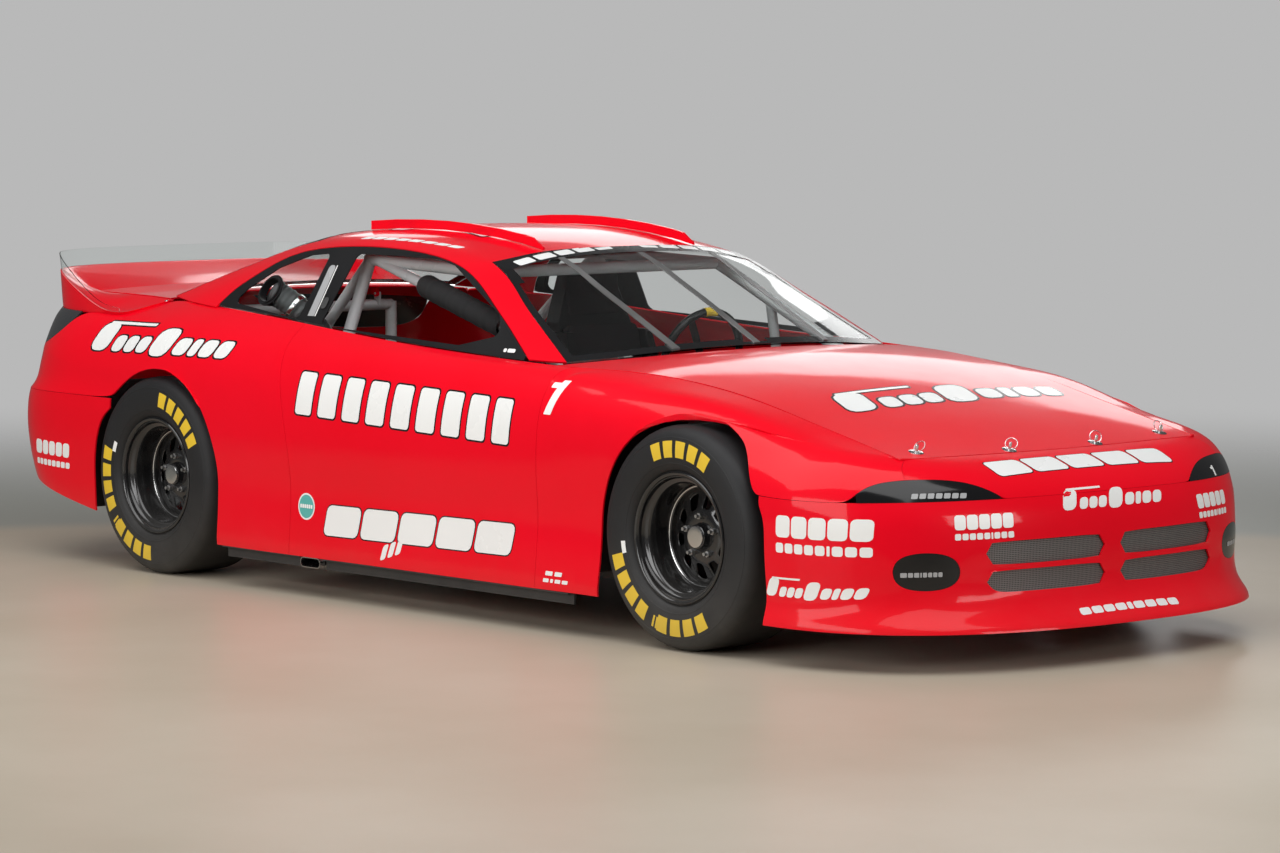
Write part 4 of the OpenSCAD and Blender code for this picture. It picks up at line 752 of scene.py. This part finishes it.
# %% Hood pins
def standing_on(spot, normal):
    return Matrix.Translation(spot) @ normal.to_track_quat("Z", "Y").to_matrix().to_4x4()


def bent_wire(bm, thickness, bend, sweep, steps, begin=0.0, segments=10):
    upright = Matrix.Rotation(math.pi / 2, 4, "X")
    start = Matrix.Rotation(begin, 4, "Z") @ Matrix.Translation((bend, 0, 0)) @ upright
    verts = bmesh.ops.create_circle(bm, segments=segments, radius=thickness, matrix=start)["verts"]
    edges = list({e for v in verts for e in v.link_edges})
    bmesh.ops.spin(bm, geom=verts + edges, cent=(0, 0, 0), axis=(0, 0, 1), angle=sweep, steps=steps,
                   use_merge=sweep == 2 * math.pi)


hood_skin = skin_of("hood")
pin_places = [(0.665, -0.546), (0.715, -0.193), (0.715, 0.193), (0.665, 0.546)]
for i, (x, y) in enumerate(pin_places):
    spot, normal, _, _ = hood_skin.ray_cast(at(x, y, 1.0), Vector((0, 0, -1)))
    stand = standing_on(spot, normal)
    bm = bmesh.new()
    turned(bm, [(0.024, -0.001), (0.024, 0.0012), (0.0225, 0.0022), (0.008, 0.0026), (0.0055, 0.004),
                (0.0055, 0.022), (0.0045, 0.025), (0.0, 0.0255)], 32)
    placed(f"hood_pin_{i}", bm, stand, polished, "hood")
    bm = bmesh.new()
    bent_wire(bm, 0.0014, 0.019, 2 * math.pi, 32)
    tilt = Matrix.Translation((0.010, 0, 0.0185)) @ Matrix.Rotation(math.radians(-52), 4, "Y")
    placed(f"pin_clip_{i}", bm, stand @ Matrix.Rotation(0.5 * i, 4, "Z") @ tilt, polished, "hood")
print("hood pins:", len(pin_places))

# %% [markdown]
# Five rivets a side hold the end plates of the spoiler. Each is a flattened ball sunk
# halfway into the skin.

# %% Rivets on the spoiler
spoiler_skin = skin_of("spoiler")
bm = bmesh.new()
for i in range(5):
    for side, _ in SIDES:
        start = at(-3.05 - 0.13 * i, side * 1.2, 0.955 + 0.021 * i)
        hit, normal, _, _ = spoiler_skin.ray_cast(start, Vector((0, -side, 0)))
        if hit is not None:
            stand = standing_on(hit, normal) @ Matrix.Diagonal((1, 1, 0.5, 1))
            bmesh.ops.create_uvsphere(bm, u_segments=16, v_segments=8, radius=0.007, matrix=stand)
link("spoiler_rivets", bm, polished, "shell", 60)
print("rivets done")


# %% [markdown]
# Foam, hose and clamp are tubes. A ring is carried along a line of points, pulled on by
# one extrusion per point, and scaled to the radius wanted there.


# %% Tubes along a line of points
def tube(bm, points, radii, segments=24):
    ring = None
    for i, point in enumerate(points):
        ahead = points[min(i + 1, len(points) - 1)] - points[max(i - 1, 0)]
        stand = standing_on(point, ahead)
        if ring is None:
            size = Matrix.Diagonal((radii[0], radii[0], 1, 1))
            ring = bmesh.ops.create_circle(bm, segments=segments, radius=1.0, matrix=stand @ size)["verts"]
            edges = list({e for v in ring for e in v.link_edges})
        else:
            grown = bmesh.ops.extrude_edge_only(bm, edges=edges)["geom"]
            ring = [g for g in grown if isinstance(g, bmesh.types.BMVert)]
            edges = [g for g in grown
                     if isinstance(g, bmesh.types.BMEdge) and all(v in ring for v in g.verts)]
            size = Matrix.Diagonal((radii[i] / radii[i - 1],) * 2 + (1, 1))
            bmesh.ops.transform(bm, matrix=stand @ size @ before.inverted(), verts=ring)
        before = stand
    bmesh.ops.recalc_face_normals(bm, faces=bm.faces)


def along(knots, count):
    line = []
    for i in range(len(knots) - 1):
        a, b = knots[i], knots[i + 1]
        go_a = (b - knots[max(i - 1, 0)]) / 6
        go_b = (knots[min(i + 2, len(knots) - 1)] - a) / 6
        line += interpolate_bezier(a, a + go_a, b - go_b, b, count)[:-1]
    return line + [knots[-1]]


# %% [markdown]
# Foam sleeves wrap two cage tubes on the right of the cabin. They taper at the ends, and
# ties pinch them every so often.

# %% Foam sleeves on the cage
STEPS, TIE_EVERY = 60, 15
bm = bmesh.new()
for low, high in ((at(-1.7084, -0.5498, 1.0585), at(-1.2243, -0.5975, 0.9384)),
                  (at(-1.185, -0.5896, 0.8987), at(-1.185, -0.6411, 0.6073))):
    line = [low.lerp(high, i / STEPS) for i in range(STEPS + 1)]
    radii = []
    for i in range(STEPS + 1):
        end = min(i, STEPS - i) / 3
        pinch = 0.0022 * math.exp(-((i % TIE_EVERY - TIE_EVERY / 2) ** 2) / 1.2)
        radii.append(0.0410 - 0.006 * max(0, 1 - end) ** 2 - pinch + 0.0006 * math.sin(i * 0.9))
    tube(bm, line, radii, 32)
sleeves = link("cage_sleeves", bm, pad_foam, "shell")
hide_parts("cage_padding")

# %% [markdown]
# A ribbed hose hangs from the round inlet in the right side window and curves down inside
# the body. Its ribs are a small ripple in the radius. A steel band clamps it near the top.

# %% Ribbed air hose and its clamp
hose_top = Vector((-2.395, -0.6763, 1.0079))
hose_steps = [
    (0, 0, 0), (0.03, 0.014, -0.015), (0.085, 0.05, -0.063), (0.135, 0.09, -0.133), (0.18, 0.125, -0.213),
    (0.215, 0.15, -0.303), (0.24, 0.17, -0.403), (0.25, 0.18, -0.503), (0.252, 0.185, -0.603),
    (0.252, 0.187, -0.69)]
line = along([at(*(hose_top + Vector(step))) for step in hose_steps], 17)
bm = bmesh.new()
tube(bm, line, [0.0445 + 0.0018 * math.sin(i * math.pi / 2) for i in range(len(line))], 28)
link("hose_ribs", bm, hose_black, "shell")
bm = bmesh.new()
tube(bm, line[26:30], [0.0485] * 4, 32)
clamp = link("hose_clamp", bm, polished, "shell", 40)
band = clamp.modifiers.new("band", "SOLIDIFY")
band.thickness = 0.0015
print("hose points:", len(line))


# %% [markdown]
# A silver strip, a thin white line and a clip sit on the post of each side window, and
# two small marks near its front corner.

# %% Strips and clips on the side windows
sides = bmesh.new()
sides.from_mesh(frame["nodes"]["side_window_frames"].data)
side_skin = BVHTree.FromBMesh(sides)
sides.free()
window_fittings = [
    ("post_strip", decal_silver, -2.120, 0.925, 0.036, 0.240, 0.0, 0.0012),
    ("post_line", decal_white, -2.080, 0.925, 0.005, 0.240, 0.0, 0.0014),
    ("post_clip", polished, -2.066, 1.005, 0.030, 0.044, 0.0, 0.005),
    ("corner_mark", decal_white, -1.010, 0.878, 0.016, 0.014, 0.1, 0.0012),
    ("corner_mark_long", decal_white, -0.990, 0.878, 0.040, 0.014, 0.1, 0.0012)]
for label, material, x, z, width, height, slant, lift in window_fittings:
    for side, where in SIDES:
        bm = bmesh.new()
        add_block(bm, 0, 0, width, height, side * slant, soft=0.4)
        if side > 0:
            bmesh.ops.transform(bm, matrix=Matrix.Diagonal((-1, 1, 1, 1)), verts=bm.verts)
        lay(bm, side_skin, at(x, side * 0.79, z), (1, 0, 0), (0, -side * 0.5, 0.866), (0, side, 0.58),
            lift, 0.04)
        link(f"{label}_{where}", bm, material, "shell")
print("window fittings:", len(window_fittings) * len(SIDES))

# %% [markdown]
# Thin near-black plates close the wheel wells fore and aft. Their dark colour is painted shade, so that the
# gap round a tyre is dark.
# %% Plates inside the wheel wells
WELL_REACH, PLATE_IN, PLATE_THICK = 0.475, 0.45, 0.003
for label, axle in (("front", AXLE), ("rear", AXLE - WHEELBASE)):
    for side, where in SIDES:
        bm = bmesh.new()
        for x, low, high in ((axle - WELL_REACH, 0.20, 0.66), (axle + WELL_REACH, 0.24, 0.62)):
            reach = 0.86 if x < axle else 0.76
            middle = Matrix.Translation((x, side * (reach + PLATE_IN) / 2, (low + high) / 2))
            size = Matrix.Diagonal((PLATE_THICK, reach - PLATE_IN, high - low, 1))
            bmesh.ops.create_cube(bm, size=1.0, matrix=middle @ size)
        link(f"well_shade_plates_{label}_{where}", bm, skirt_rubber, "shell", 30)
print("wheel wells closed")

# %% [markdown]
# A cushion is a divided box, thinner towards its rim and pressed in along two seams.

# %% Seat cushions
def cushion(name, centre, size, tilt):
    bm = bmesh.new()
    bmesh.ops.create_cube(bm, size=1.0)
    bmesh.ops.subdivide_edges(bm, edges=bm.edges, cuts=5, use_grid_fill=True)
    for vert in bm.verts:
        x, y, z = vert.co
        full = max(0.0, (1 - (2 * x) ** 4)) * max(0.0, (1 - (2 * y) ** 4))
        vert.co.z = z * (0.55 + 0.45 * full)
    for y in (-1 / 6, 1 / 6):
        for vert in bm.verts:
            if abs(vert.co.y - y) < 0.01 and vert.co.z > 0:
                vert.co.z *= 0.78
    lean = Matrix.Rotation(math.radians(tilt), 4, "Y")
    stand = Matrix.Translation(centre) @ lean @ Matrix.Diagonal((*size, 1))
    bmesh.ops.transform(bm, matrix=stand, verts=bm.verts)
    piece = link(name, bm, cloth_black, "shell")
    subdivided(piece)


cushion("seat_base_cushion", at(-1.60, 0.38, 0.415), (0.46, 0.36, 0.075), -3)
cushion("seat_back_cushion", at(-1.835, 0.38, 0.665), (0.44, 0.34, 0.07), 80)
cushion("seat_head_cushion", at(-1.92, 0.38, 0.99), (0.15, 0.24, 0.055), 86)

# %% [markdown]
# A turn of yellow tape marks the top of the steering wheel, and turns with it.

# %% Tape on the steering wheel
column = Matrix.Translation(at(-1.330, 0.380, 0.780)) @ Matrix.Rotation(math.radians(105), 4, "Y")
bm = bmesh.new()
bent_wire(bm, 0.0158, 0.176, math.radians(18), 10, begin=math.radians(171), segments=24)
placed("wheel_tape", bm, column, decal_yellow, "steering_wheel")
print("fittings done")

# %% [markdown]
# The room is plain: a pale floor and large soft lights. The floor is wide enough for
# every view, and turns to the grey of the wall some way behind the car.

# %% Floor
bm = bmesh.new()
bmesh.ops.create_grid(bm, x_segments=1, y_segments=1, size=60)
floor_mesh = bpy.data.meshes.new("floor")
bm.to_mesh(floor_mesh)
bm.free()
floor = bpy.data.objects.new("floor", floor_mesh)
scene.collection.objects.link(floor)
floor_material, tree, shader = principled("floor", Roughness=0.4, Specular_IOR_Level=0.3)
place = node(tree, "ShaderNodeTexCoord").outputs["Object"]
cloud = node(tree, "ShaderNodeTexNoise", {"Vector": place, "Scale": 0.7, "Detail": 6.0, "Roughness": 0.6})
beige = ramp(tree, cloud.outputs["Fac"], (0.35, (0.47, 0.405, 0.315)), (0.65, (0.52, 0.455, 0.365)))
PATCH_MIDDLE = (3.0, -3.0, 0.0)
PALE_GREY = (0.34, 0.343, 0.305)
away = node(tree, "ShaderNodeVectorMath", {0: place, 1: PATCH_MIDDLE}, operation="DISTANCE").outputs["Value"]
outside, gone = [
    node(tree, "ShaderNodeMapRange", {"Value": away, "From Min": near, "From Max": far},
         interpolation_type="SMOOTHSTEP").outputs["Result"] for near, far in ((6.35, 6.75), (6.6, 13.0))]
feed(tree, shader, Base_Color=mixed(tree, outside, beige, PALE_GREY))
clear = node(tree, "ShaderNodeBsdfTransparent")
fade = node(tree, "ShaderNodeMixShader", {0: gone, 1: shader.outputs["BSDF"], 2: clear.outputs["BSDF"]})
tree.links.new(fade.outputs["Shader"], tree.nodes["Material Output"].inputs["Surface"])
floor_mesh.materials.append(floor_material)
print("floor laid")

# %% [markdown]
# One wide light overhead gives the soft sheen on hood and roof. Three upright ones light
# the right flank, the nose and the far side.

# %% Lights
def area(name, spot, target, size, power, colour=(1, 1, 1)):
    data = bpy.data.lights.new(name, "AREA")
    data.shape = "RECTANGLE"
    data.size, data.size_y = size
    data.energy = power
    data.color = colour
    lamp = bpy.data.objects.new(name, data)
    lamp.location = spot
    lamp.rotation_euler = (Vector(target) - Vector(spot)).to_track_quat("-Z", "Y").to_euler()
    scene.collection.objects.link(lamp)


area("overhead", (1.6, -2.3, 5.4), (0.8, -0.4, 0), (11.0, 4.8), 400)
area("right_wall", (1.0, -9.5, 3.0), (0.3, 0, 0.6), (9.0, 3.0), 360)
area("front_wall", (11.0, 2.0, 3.4), (1.5, 0, 0.5), (5.0, 2.0), 190)
area("left_back", (-6.5, 7.0, 3.5), (-0.5, 0, 0.5), (6.0, 2.0), 100)

# %% [markdown]
# The wall is pale to the eye and through glass, yet dark to the paint, the way a black
# cloth outside the frame keeps a red car saturated.

# %% Background
world = bpy.data.worlds.new("studio")
scene.world = world
world.use_nodes = True
tree = world.node_tree
background = tree.nodes["Background"]
background.inputs["Color"].default_value = (0.485, 0.485, 0.485, 1)
rays = node(tree, "ShaderNodeLightPath")
seen = node(tree, "ShaderNodeMath", {
    0: rays.outputs["Is Camera Ray"], 1: rays.outputs["Is Transmission Ray"]}, operation="MAXIMUM")
strength = node(tree, "ShaderNodeMapRange", {"Value": seen.outputs[0], "To Min": 0.22, "To Max": 1.0})
tree.links.new(strength.outputs["Result"], background.inputs["Strength"])
scene.view_settings.view_transform = "Standard"
print("background", world.name, "set")
